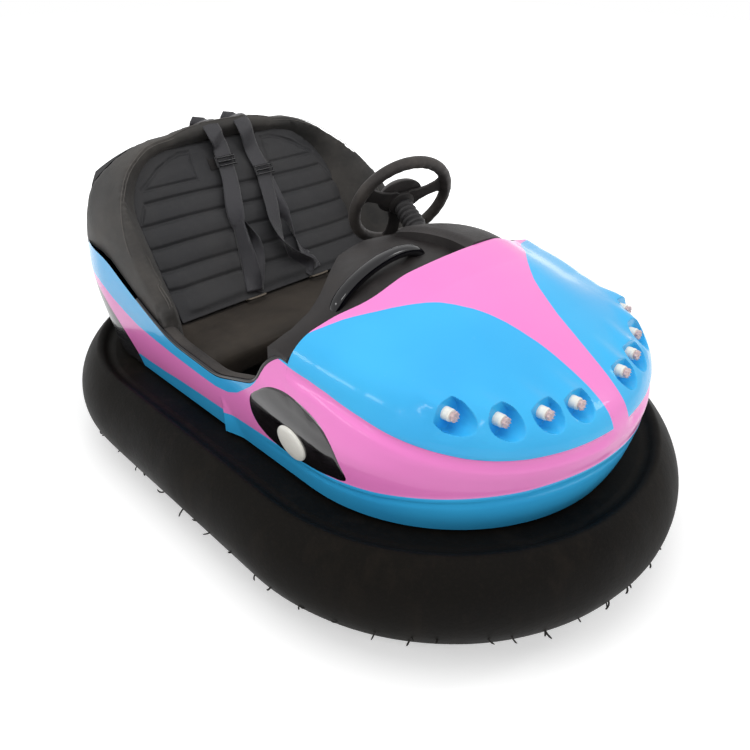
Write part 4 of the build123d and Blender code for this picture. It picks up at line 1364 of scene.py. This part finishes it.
# ------------------------------------------------------------------ wheel motifs
# outline of a motif and the middle of its disc: x, z
MOTIF = ((0.151, 0.428), (0.156, 0.455), (0.170, 0.480), (0.201, 0.506), (0.235, 0.527), (0.280, 0.543),
         (0.333, 0.549), (0.383, 0.538), (0.423, 0.509), (0.448, 0.468), (0.462, 0.425), (0.472, 0.379),
         (0.420, 0.368), (0.352, 0.360), (0.290, 0.354), (0.239, 0.354), (0.198, 0.363), (0.168, 0.382),
         (0.154, 0.405))
HUB_CENTRE = (0.304, 0.402)


class BUMPER_OT_motifs(bpy.types.Operator):
    """Black wheel shapes on the shell's sides, each with a white hub disc"""
    bl_idname = "bumper.motifs"
    bl_label = "Wheel motifs"

    def execute(self, context):
        tree = skin_tree("body_shell")
        self.films(tree)
        self.discs(tree)
        return {"FINISHED"}

    def films(self, tree):
        """The black shapes, laid on the shell in rings from the middle out."""
        count, rings = 120, 26
        loop = glide(MOTIF + MOTIF[:1], count)[:-1]
        centre = np.array((0.315, 0.440))
        bm = bmesh.new()
        for side in (-1, 1):
            def place(i, j):
                x, z = centre + (loop[i % count] - centre) * (j / rings)
                hit = ray_in(tree, x, z, side)[0]
                y = hit.y if hit else side * 0.48
                rim = 0.0012 if j < rings else -0.0012
                return Vector(body_form((x, y + side * (float(relief(np.array((x, y, z)))) + rim), z)))
            made = sheet_form(bm, count, rings, place, merge=1e-6)
            if side < 0:
                bmesh.ops.reverse_faces(bm, faces=faces_of(made))
        add_mesh("wheel_shapes", bm, "motif", replaces=("wheel_motifs",), slot="motif_film", recalc=False)

    def discs(self, tree):
        """The domed white discs."""
        bm = bmesh.new()
        for side in (-1, 1):
            spot, out, *_ = ray_in(tree, *HUB_CENTRE, side)
            part = bmesh.new()
            turned(part, ((0.0, 0.0072), (0.020, 0.0068), (0.036, 0.0056), (0.0435, 0.0042), (0.0462, 0.0030),
                          (0.0476, 0.0010), (0.0478, -0.0030), (0.0, -0.0030)), 72)
            join_part(bm, part, frame_at(Vector(body_form(spot)) + out * 0.0018, out))
        add_mesh("hub_discs", bm, "white", replaces=("motif_hubs",), slot="white_plastic")


# ------------------------------------------------------------------ bench
CHANNELS = (0.720, 0.667, 0.610, 0.553, 0.507)      # heights of the sewn channels on the back
PATCH_FOOT, PATCH_INNER = 0.756, 0.132               # lower edge and inner edge of the two upper patches
PATCH_TOP = ((0.132, 0.828), (0.17, 0.829), (0.21, 0.818), (0.25, 0.800), (0.29, 0.776), (0.323, 0.756))
SEAM_LINE = ((-0.225, 0.452, 0.545), (-0.296, 0.455, 0.590), (-0.361, 0.455, 0.640), (-0.413, 0.452, 0.690),
             (-0.450, 0.445, 0.735), (-0.485, 0.430, 0.778), (-0.515, 0.400, 0.815), (-0.545, 0.350, 0.849),
             (-0.572, 0.280, 0.876), (-0.588, 0.19, 0.892), (-0.596, 0.08, 0.900), (-0.598, 0.0, 0.902))
SEAM_UP = (1, 0, 0.4)


class BUMPER_OT_back(bpy.types.Operator):
    """Padded back with sewn channels and two upper patches"""
    bl_idname = "bumper.back"
    bl_label = "Padded back"

    def execute(self, context):
        mesh = soft_copy("seat_back", "padded_back", voxel=0.0062, shrink=0.004, pressure=4.0, cap=0.010,
                         rounds=5, smooth_after=3)
        pad_piece(mesh, "padded_back", "vinyl", "seat_back", self.sew, fill=0.75)
        return {"FINISHED"}

    def sew(self, p, n):
        """Presses the channels and patches into the front of the pad."""
        x, y, z = p.T
        side = np.abs(y)
        front = smooth(0.2, 0.6, n[:, 0])
        drop = np.zeros(len(p))
        bow = 0.004 * np.sin(y * 7)
        for k, level in enumerate(CHANNELS):
            away = np.abs(z + bow - level)
            reach = smooth(0.40, 0.375, side) if k else smooth(0.335, 0.325, side)
            drop = np.maximum(drop, (0.0062 * bell(away, 0.0048) + 0.002 * bell(away, 0.016)) * reach)
        edge = np.interp(z, (0.50, 0.66, 0.72), (0.392, 0.372, 0.33))
        rim = 0.005 * bell(side - edge, 0.0045) * smooth(0.724, 0.716, z) * smooth(0.655, 0.665, z)
        drop = np.maximum(drop, rim)
        ys, zs = zip(*PATCH_TOP)
        top = np.interp(side, ys, zs)
        in_patch = (side > PATCH_INNER) & (side < ys[-1])
        to_edge = np.where(in_patch, np.minimum.reduce([np.abs(z - top) * 0.85, np.abs(z - PATCH_FOOT),
                                                        np.abs(side - PATCH_INNER)]), 1.0)
        outside = (z < PATCH_FOOT - 0.006) | (z > top + 0.006)
        drop = np.maximum(drop, 0.0052 * bell(to_edge, 0.0042) * ~outside)
        inner = in_patch & (z > PATCH_FOOT) & (z < top)
        puff = 0.003 * smooth(0.004, 0.03, to_edge) * inner
        band = np.sin((z - 0.44) / 0.057 * math.pi) ** 2
        puff += 0.0022 * band * (z < 0.72) * smooth(0.385, 0.35, side)
        soft = 0.0012 * hash_waves(p, 22, 5) + 0.0007 * hash_waves(p, 55, 9)
        return p + n * ((puff + soft - drop) * front)[:, None]


class BUMPER_OT_surround(bpy.types.Operator):
    """Padded border of the bench, from one bolster over the top to the other"""
    bl_idname = "bumper.surround"
    bl_label = "Padded border"

    def execute(self, context):
        mesh = soft_copy("seat_surround", "padded_border", voxel=0.0095, shrink=0.004, pressure=3.0,
                         cap=0.012, rounds=4, smooth_after=3, swell=self.swell)
        pad_piece(mesh, "padded_border", "border", "seat_surround", self.crease, fill=0.7)
        tree = skin_tree("seat_surround")
        bm = bmesh.new()
        for side in (-1, 1):
            near = [tree.find_nearest(Vector((x, side * y, z))) for x, y, z in glide(SEAM_LINE, 90)]
            path = np.array([spot - out * 0.0005 for spot, out, *_ in near])
            _, aside, _ = line_frames(path, SEAM_UP)
            for offset in (-0.004, 0.004):
                bar(bm, path + aside * offset, oval(0.0018, 0.0018, 6), up=SEAM_UP)
        add_mesh("border_stitching", bm, "stitch", slot="vinyl")
        return {"FINISHED"}

    def swell(self, p, n):
        """Fills the border out, raises its crest and laps its foot over the shell's edge."""
        _, y, z = p.T
        q = p + n * 0.005
        crest = smooth(0.80, 0.895, z)
        foot = smooth(0.41, 0.47, np.abs(y)) * (1 - smooth(0.62, 0.74, z))
        q[:, 2] += 0.003 * crest - 0.014 * foot
        q[:, 1] += np.sign(y) * 0.003 * foot
        return q

    def crease(self, p, n):
        """Gives the border its unevenness, and folds where it ends."""
        x, _, z = p.T
        soft = 0.0016 * hash_waves(p, 15, 21) + 0.0009 * hash_waves(p, 48, 22)
        end = smooth(-0.275, -0.215, x)
        folds = 0.004 * end * np.sin(x * 260 + 2.0 * hash_waves(p, 40, 23)) * smooth(0.47, 0.50, z)
        return p + n * (soft + folds)[:, None]


class BUMPER_OT_cushion(bpy.types.Operator):
    """Seat cushion with a rolled front edge"""
    bl_idname = "bumper.cushion"
    bl_label = "Seat cushion"

    def execute(self, context):
        mesh = soft_copy("seat_cushion", "padded_cushion", voxel=0.008, shrink=0.005, pressure=4.0,
                         cap=0.012, rounds=5, smooth_after=4)
        pad_piece(mesh, "padded_cushion", "cushion", "seat_cushion", self.dent, fill=0.8)
        return {"FINISHED"}

    def dent(self, p, n):
        """Two shallow seats in the cushion's top, and its unevenness all over."""
        x, y, _ = p.T
        seats = bell(np.hypot((x + 0.19) / 1.2, np.abs(y) - 0.21), 0.13)
        soft = 0.0014 * hash_waves(p, 18, 31) + 0.0006 * hash_waves(p, 60, 32)
        top = smooth(0.3, 0.9, n[:, 2])
        return p + n * ((soft - 0.006 * seats) * top + soft * 0.6)[:, None]


# ------------------------------------------------------------------ belts
STRAP_WIDTH, STRAP_CUP = 0.056, 0.006
STRAP_ALONG, STRAP_ACROSS = 60, 8


def ribbon(bm, strap, width):
    """A flat strap along a smooth line; its rolls turn it about its own length, in degrees."""
    *points, rolls = zip(*strap)
    path = glide(tuple(zip(*points)), STRAP_ALONG)
    stations = np.linspace(0, 1, STRAP_ALONG + 1)
    roll = np.radians(np.interp(stations, np.linspace(0, 1, len(rolls)), rolls))[:, None]
    ahead, side, rise = line_frames(path, (1.0, 0, 0.75))
    aside = side * np.cos(roll) + rise * np.sin(roll)
    out = np.cross(ahead, aside)
    lengths = np.concatenate([[0], np.cumsum(np.linalg.norm(np.diff(path, axis=0), axis=1))])
    layer = bm.loops.layers.uv.get("strap") or bm.loops.layers.uv.new("strap")
    made = bmesh.ops.create_grid(bm, x_segments=STRAP_ACROSS, y_segments=STRAP_ALONG, size=0.5)["verts"]
    marks = {v: (round((v.co.x + 0.5) * STRAP_ACROSS), round((v.co.y + 0.5) * STRAP_ALONG)) for v in made}
    for v, (i, j) in marks.items():
        t = i / STRAP_ACROSS - 0.5
        v.co = path[j] + aside[j] * (t * width) + out[j] * (STRAP_CUP * (0.25 - t * t))
    for face in faces_of(made):
        for loop in face.loops:
            i, j = marks[loop.vert]
            loop[layer].uv = (i / STRAP_ACROSS, lengths[j])


def on_back(place):
    """A placing matrix on the front of the bench's back."""
    return frame_at(place, (0.86, 0, 0.5), up=(-0.5, 0, 0.86))


# each strap from the top of the bench down: x, y, z, roll
UPPER_STRAPS = {
    "right": ((-0.668, -0.055, 0.872, 0), (-0.640, -0.054, 0.896, 0), (-0.601, -0.052, 0.903, 0),
              (-0.572, -0.047, 0.872, 0), (-0.572, -0.034, 0.832, 0), (-0.556, -0.034, 0.790, 0)),
    "left": ((-0.668, 0.056, 0.872, 0), (-0.640, 0.057, 0.896, 0), (-0.601, 0.060, 0.903, 0),
             (-0.572, 0.064, 0.872, 0), (-0.571, 0.080, 0.806, 0), (-0.534, 0.091, 0.745, 0)),
}
FRONT_STRAPS = {
    "right": ((-0.556, -0.034, 0.790, 0), (-0.527, -0.040, 0.739, 0), (-0.494, -0.058, 0.697, 12),
              (-0.457, -0.078, 0.661, 40), (-0.423, -0.092, 0.628, 78), (-0.394, -0.101, 0.586, 70),
              (-0.371, -0.105, 0.545, 55), (-0.349, -0.111, 0.501, 40), (-0.327, -0.119, 0.452, 0)),
    "left": ((-0.534, 0.091, 0.745, 0), (-0.509, 0.083, 0.702, -5), (-0.467, 0.066, 0.657, -10),
             (-0.428, 0.048, 0.612, -20), (-0.389, 0.040, 0.568, -45), (-0.362, 0.052, 0.528, -80),
             (-0.346, 0.082, 0.492, -110), (-0.330, 0.118, 0.454, -180)),
}
REAR_STRAPS = {
    "right": ((-0.562, -0.030, 0.786, 0), (-0.524, -0.036, 0.715, -10), (-0.487, -0.044, 0.654, -35),
              (-0.450, -0.046, 0.606, -75), (-0.418, -0.048, 0.566, -125), (-0.389, -0.060, 0.531, -165),
              (-0.359, -0.085, 0.493, -180), (-0.330, -0.117, 0.452, -180)),
    "left": ((-0.538, 0.094, 0.741, 0), (-0.500, 0.099, 0.672, 25), (-0.462, 0.104, 0.619, 65),
             (-0.421, 0.107, 0.565, 110), (-0.379, 0.113, 0.513, 150), (-0.350, 0.120, 0.478, 180),
             (-0.331, 0.125, 0.454, 180)),
}
STRAPS = ((UPPER_STRAPS, 1.0), (FRONT_STRAPS, 0.97), (REAR_STRAPS, 0.90))   # with their share of the width
SLIDERS = ((-0.5525, -0.034, 0.792), (-0.5300, 0.091, 0.747))
BRACKET_BEND = ((-0.014, -0.026, -0.012), (0.006, -0.030, 0.001), (0.012, -0.024, 0.003), (0.013, 0, 0.003),
                (0.012, 0.024, 0.003), (0.006, 0.030, 0.001), (-0.014, 0.026, -0.012))


class BUMPER_OT_belts(bpy.types.Operator):
    """Two belts over the back, with sliders, floor brackets and a guide plate"""
    bl_idname = "bumper.belts"
    bl_label = "Belts"

    def execute(self, context):
        for name in ("right", "left"):
            bm = bmesh.new()
            for straps, share in STRAPS:
                ribbon(bm, straps[name], STRAP_WIDTH * share)
            obj = add_mesh(f"strap_{name}", bm, "webbing", replaces=(f"belt_{name}",), slot="webbing",
                           recalc=False, sharp=60)
            thick = obj.modifiers.new("thickness", "SOLIDIFY")
            thick.thickness, thick.offset = 0.0016, 0.0
        self.sliders()
        self.brackets()
        self.guide()
        return {"FINISHED"}

    def sliders(self):
        """Three bars and two ends for each belt."""
        bm = bmesh.new()
        for here in map(on_back, SLIDERS):
            for level in (-0.0125, 0.0, 0.0125):
                path = np.array([here @ Vector((end, level, 0.0045)) for end in (-0.034, 0.034)])
                bar(bm, path, oval(0.0072, 0.0052, 16, 3.0))
            for end in (-0.0335, 0.0335):
                path = np.array([here @ Vector((end, level, 0.0035)) for level in (-0.0160, 0.0160)])
                bar(bm, path, oval(0.0060, 0.0075, 16, 3.0), up=(0, 1, 0))
        add_mesh("strap_sliders", bm, "gloss", replaces=("belt_sliders",), slot="gloss_black")

    def brackets(self):
        """A bent bracket where each belt meets the bench."""
        bm = bmesh.new()
        for side in (-1, 1):
            path = np.array((-0.318, side * 0.125, 0.441)) + glide(BRACKET_BEND, 40)
            bar(bm, path, oval(0.0085, 0.0042, 12, 3.0))
        add_mesh("strap_brackets", bm, "bracket", replaces=("belt_anchors",), slot="black_steel")

    def guide(self):
        """The small sunk plate beside the right belt."""
        bm = bmesh.new()
        made = bmesh.ops.create_cube(bm, size=1.0)["verts"]
        bmesh.ops.scale(bm, verts=made, vec=(0.030, 0.062, 0.004))
        top = [f for f in bm.faces if f.normal.z > 0.9]
        bmesh.ops.inset_region(bm, faces=top, thickness=0.005, depth=0.0)
        bmesh.ops.translate(bm, verts=list({v for f in top for v in f.verts}), vec=(0, 0, -0.0022))
        bmesh.ops.bevel(bm, geom=bm.edges[:], offset=0.0007, segments=2, profile=0.5, affect="EDGES",
                        material=-1)
        bmesh.ops.transform(bm, matrix=on_back((-0.5790, -0.066, 0.796)), verts=bm.verts)
        add_mesh("strap_guide", bm, "wheel", slot="gloss_black")


# ------------------------------------------------------------------ steering
WHEEL_CENTRE = (-0.022, 0.200, 0.735)
WHEEL_AIM = (-0.853, 0.257, 0.454)
GRIP_RADIUS = 0.145
SPOKES = (22, 158, 270)            # degrees round the wheel


class BUMPER_OT_steering(bpy.types.Operator):
    """Steering wheel: grip, three-spoke web, horn pad and bellows"""
    bl_idname = "bumper.steering"
    bl_label = "Steering wheel"

    def execute(self, context):
        here = frame_at(WHEEL_CENTRE, WHEEL_AIM)
        self.grip(here)
        self.web(here)
        self.pad(here)
        self.bellows(here)
        return {"FINISHED"}

    def finish(self, bm, here, name, look_name, node, slot, body="steering", sharp=40):
        """Makes a piece of a form that was shaped about Z."""
        bmesh.ops.recalc_face_normals(bm, faces=bm.faces)
        bmesh.ops.transform(bm, matrix=here, verts=bm.verts)
        add_mesh(name, bm, look_name, body=body, replaces=(node,), slot=slot, recalc=False, sharp=sharp)

    def grip(self, here):
        """The rubber ring, with finger waves below and swellings where it meets the spokes."""
        bm = bmesh.new()
        ring = bmesh.ops.create_circle(bm, cap_ends=False, radius=0.0168, segments=28)["verts"]
        bmesh.ops.rotate(bm, verts=ring, cent=(0, 0, 0), matrix=Matrix.Rotation(math.pi / 2, 3, "X"))
        bmesh.ops.translate(bm, verts=ring, vec=(GRIP_RADIUS, 0, 0))
        spin_round(bm, ring + edges_of(ring), 160)
        for v in bm.verts:
            a = math.atan2(v.co.y, v.co.x)
            middle = Vector((math.cos(a), math.sin(a), 0)) * GRIP_RADIUS
            under = v.co - middle
            scale = 1.0 + 0.025 * math.cos(30 * a) * (under.z < 0.002)
            for spoke in SPOKES:
                gap = (math.degrees(a) - spoke + 180) % 360 - 180
                scale += 0.10 * bell(gap, 11) * (under.dot(middle) < 0)
            v.co = middle + under * scale
        self.finish(bm, here, "wheel_grip", "grip", "steering_grip", "rubber")

    def web(self, here):
        """The flat web: three spokes that flare where they meet the grip."""
        bm = bmesh.new()
        outline = []
        widths = ((0.040, 0.031), (0.056, 0.023), (0.085, 0.019), (0.112, 0.021), (0.131, 0.031),
                  (0.139, 0.040))
        for k, spoke in enumerate(SPOKES):
            a = math.radians(spoke)
            ahead, aside = Vector((math.cos(a), math.sin(a), 0)), Vector((-math.sin(a), math.cos(a), 0))
            outline += [ahead * r - aside * w for r, w in widths]
            outline += [ahead * r + aside * w for r, w in reversed(widths)]
            after = math.radians(SPOKES[(k + 1) % 3]) + (2 * math.pi if k == 2 else 0)
            dip = 0.030 if k == 0 else 0.036
            mid = (a + after) / 2
            outline.append(Vector((math.cos(mid) * dip, math.sin(mid) * dip, 0)))
        verts = [bm.verts.new(co) for co in outline]
        face = bm.faces.new(verts)
        bmesh.ops.translate(bm, verts=verts, vec=(0, 0, -0.0045))
        up = bmesh.ops.extrude_face_region(bm, geom=[face])["geom"]
        bmesh.ops.translate(bm, verts=only_verts(up), vec=(0, 0, 0.009))
        bmesh.ops.recalc_face_normals(bm, faces=bm.faces)
        rims = [e for e in bm.edges if abs(e.verts[0].co.z - e.verts[1].co.z) < 1e-6]
        bmesh.ops.bevel(bm, geom=rims, offset=0.0032, segments=4, profile=0.5, affect="EDGES",
                        material=-1)
        bmesh.ops.triangulate(bm, faces=[f for f in bm.faces if len(f.verts) > 4])
        part = bmesh.new()
        turned(part, ((0.0, 0.008), (0.034, 0.008), (0.038, 0.004), (0.040, -0.004), (0.038, -0.010),
                      (0.031, -0.013), (0.024, -0.015), (0.0, -0.015)), 56)
        join_part(bm, part, Matrix.Identity(4))
        self.finish(bm, here, "wheel_web", "wheel", "steering_wheel", "gloss_black", sharp=35)

    def pad(self, here):
        """The domed horn pad, a little wider than high and above the middle."""
        bm = bmesh.new()
        turned(bm, ((0.0, 0.043), (0.020, 0.0420), (0.038, 0.0382), (0.052, 0.0315), (0.061, 0.0230),
                    (0.0655, 0.0150), (0.0662, 0.0110), (0.064, 0.0092), (0.030, 0.0090), (0.0, 0.0090)), 72)
        for v in bm.verts:
            v.co.y = v.co.y * 0.92 + 0.012
            v.co.x *= 1.06
        self.finish(bm, here, "wheel_pad", "pad", "horn_pad", "gloss_black")

    def bellows(self, here):
        """Five folds of rubber round the column, and its plain sleeve."""
        bm = bmesh.new()
        profile = [(0.0265, -0.0155)]
        pitch = 0.0178
        for k in range(5):
            z = -0.017 - k * pitch
            grow = 0.0265 + 0.0008 * k
            profile += [(grow - 0.004, z), (grow + 0.0005, z - pitch * 0.22),
                        (grow + 0.0022, z - pitch * 0.46), (grow + 0.0008, z - pitch * 0.70),
                        (grow - 0.0038, z - pitch * 0.92)]
        profile += [(0.0255, -0.108), (0.0262, -0.125), (0.0266, -0.148), (0.0262, -0.160), (0.017, -0.161)]
        turned(bm, profile, 64)
        self.finish(bm, here, "bellows", "boot", "column_boot", "rubber", body="root", sharp=30)


# ------------------------------------------------------------------ dash, handle and cockpit edge
class BUMPER_OT_handle(bpy.types.Operator):
    """Grab handle in front of the passenger"""
    bl_idname = "bumper.handle"
    bl_label = "Grab handle"

    def execute(self, context):
        line = ((-0.296, 0.615), (-0.296, 0.648), (-0.284, 0.676), (-0.250, 0.702), (-0.200, 0.724),
                (-0.145, 0.738), (-0.090, 0.742), (-0.048, 0.735), (-0.018, 0.716), (-0.009, 0.690),
                (-0.008, 0.645))
        path = glide([(0.254, y, z) for y, z in line], 110)
        sizes = np.interp(np.linspace(0, 1, 111), (0, 0.06, 0.5, 0.9, 1), (1.10, 1.05, 1.0, 0.96, 0.92))
        bm = bmesh.new()
        bar(bm, path, oval(0.029, 0.033, 28, 2.4), up=(1, 0, 0.01), sizes=sizes)
        add_mesh("handle_bar", bm, "gloss", replaces=("grab_handle",), slot="gloss_black")
        return {"FINISHED"}


class BUMPER_OT_edge(bpy.types.Operator):
    """Padded edge of the cockpit and the gloss piping on the shell"""
    bl_idname = "bumper.edge"
    bl_label = "Cockpit edge"

    def execute(self, context):
        tree = skin_tree("body_shell")
        piping, pad = bmesh.new(), bmesh.new()
        for side in (-1, 1):
            rail = self.rail(tree, side)
            bar(piping, rail + np.array((0, 0, 0.0035)), oval(0.0105, 0.0105, 14), up=(0, 0, 1))
            self.padding(pad, rail, side)
        add_mesh("edge_piping", piping, "gloss", replaces=("cockpit_trim",), slot="gloss_black")
        add_mesh("edge_padding", pad, "flange", replaces=("cockpit_flange",), slot="vinyl", recalc=False,
                 sharp=70)
        formed_copy("dash_panel", "dash_skin", "dash", "dash_plastic", reach=self.dash_reach)
        formed_copy("driver_cowl", "cowl_skin", "cowl", "vinyl", reach=self.cowl_reach)
        return {"FINISHED"}

    def dash_reach(self, p):
        """Draws the dash's rear edge to its bow: furthest back in the middle, further ahead beside it."""
        x, y, z = p.T
        wanted = np.interp(np.abs(y), (0, 0.12, 0.20, 0.28, 0.35, 0.42, 0.47, 0.52),
                           (0.105, 0.118, 0.150, 0.185, 0.212, 0.222, 0.208, 0.180))
        return np.stack((self.drawn(x, y, wanted), y, z), 1)

    def cowl_reach(self, p):
        """Draws the cowl in to the width and length of its hump, falling away at the outer end."""
        x, y, z = p.T
        aside = 0.055 + (y - 0.04) * 0.72
        drop = 0.012 * smooth(0.20, 0.33, aside) + 0.010 * (1 - smooth(0.055, 0.085, aside))
        return np.stack((self.drawn(x, y, 0.155), aside, z - drop), 1)

    def drawn(self, x, y, wanted):
        """Stations ahead of the CAD dash's rear edge, drawn so that the edge lies where it's wanted."""
        rear = 0.12 - 0.065 * (y / 0.52) ** 2
        return np.minimum(HOOD_REAR - (HOOD_REAR - x) * (HOOD_REAR - wanted) / (HOOD_REAR - rear), HOOD_REAR)

    def rail(self, tree, side):
        """The top of the shell's side, from the hood back to the bolster."""
        spots = []
        for x in np.linspace(0.345, -0.335, 90):
            def wall(z):
                hit = ray_in(tree, x, z, side)[0]
                return hit if hit and hit.y * side > 0.3 else None
            top = highest(wall, 0.42, 0.72, 16)
            spots.append((x, wall(top).y - side * 0.0045, top))
        spots = body_form(spots)
        for _ in range(3):
            spots[1:-1] = (spots[:-2] + 2 * spots[1:-1] + spots[2:]) / 4
        return spots

    def padding(self, bm, rail, side):
        """The padded lip that hangs inside the rail."""
        section = ((0.001, -0.004), (-0.006, 0.004), (-0.016, 0.0062), (-0.027, 0.0052), (-0.036, 0.0010),
                   (-0.0410, -0.006), (-0.0425, -0.016), (-0.0425, -0.034), (-0.0405, -0.052))
        waves = hash_waves(rail, 60, 41)

        def place(i, j):
            inward, rise = section[i]
            wrinkle = 0.0016 * waves[j] * (2 < i < 7)
            return Vector(rail[j] + np.array((0, side * (inward + wrinkle), rise + wrinkle)))
        made = sheet_form(bm, len(section) - 1, len(rail) - 1, place, merge=0)
        if side > 0:
            bmesh.ops.reverse_faces(bm, faces=faces_of(made))


# ------------------------------------------------------------------ CAD nodes that stay
class BUMPER_OT_frame_looks(bpy.types.Operator):
    """Finishes on every CAD node"""
    bl_idname = "bumper.frame_looks"
    bl_label = "Frame finishes"

    def execute(self, context):
        for name, nodes in CAD_LOOKS.items():
            for node in nodes.split():
                NODES[node].data.materials.clear()
                NODES[node].data.materials.append(look_for(name))
        return {"FINISHED"}


# ------------------------------------------------------------------ panel and start
class BUMPER_PT_panel(bpy.types.Panel):
    """Sizes, colours and pieces"""
    bl_idname = "BUMPER_PT_panel"
    bl_label = "Bumper Car"
    bl_space_type = "VIEW_3D"
    bl_region_type = "UI"
    bl_category = "Bumper Car"

    def draw(self, context):
        """Lists the settings, then a button for each piece."""
        column = self.layout.column()
        for group in (context.scene.bumper_colours, context.scene.bumper_sizes):
            for key in group.bl_rna.properties.keys():
                if key not in ("rna_type", "name"):
                    column.prop(group, key)
        for piece in PIECES:
            column.operator(piece.bl_idname)


PIECES = [c for c in list(globals().values()) if isinstance(c, type) and issubclass(c, bpy.types.Operator)]
GROUPS = (BumperColours, BumperSizes)


def register():
    """Adds the settings, the pieces and the panel to Blender."""
    for cls in (*GROUPS, *PIECES, BUMPER_PT_panel):
        bpy.utils.register_class(cls)
    bpy.types.Scene.bumper_colours = bpy.props.PointerProperty(type=BumperColours)
    bpy.types.Scene.bumper_sizes = bpy.props.PointerProperty(type=BumperSizes)


def unregister():
    """Takes them out again."""
    del bpy.types.Scene.bumper_sizes
    del bpy.types.Scene.bumper_colours
    for cls in reversed((*GROUPS, *PIECES, BUMPER_PT_panel)):
        bpy.utils.unregister_class(cls)


def main():
    """Builds every piece in turn and writes down the overall sizes, CAD and visual."""
    register()
    for piece in PIECES:
        group, name = piece.bl_idname.split(".")
        getattr(getattr(bpy.ops, group), name)()
    sizes = {"cad": [list(v) for v in CAD_BOX], "visual": [list(v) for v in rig.bounds()]}
    with open("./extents.json", "w") as file:
        json.dump(sizes, file)


if __name__ == "__main__":
    main()
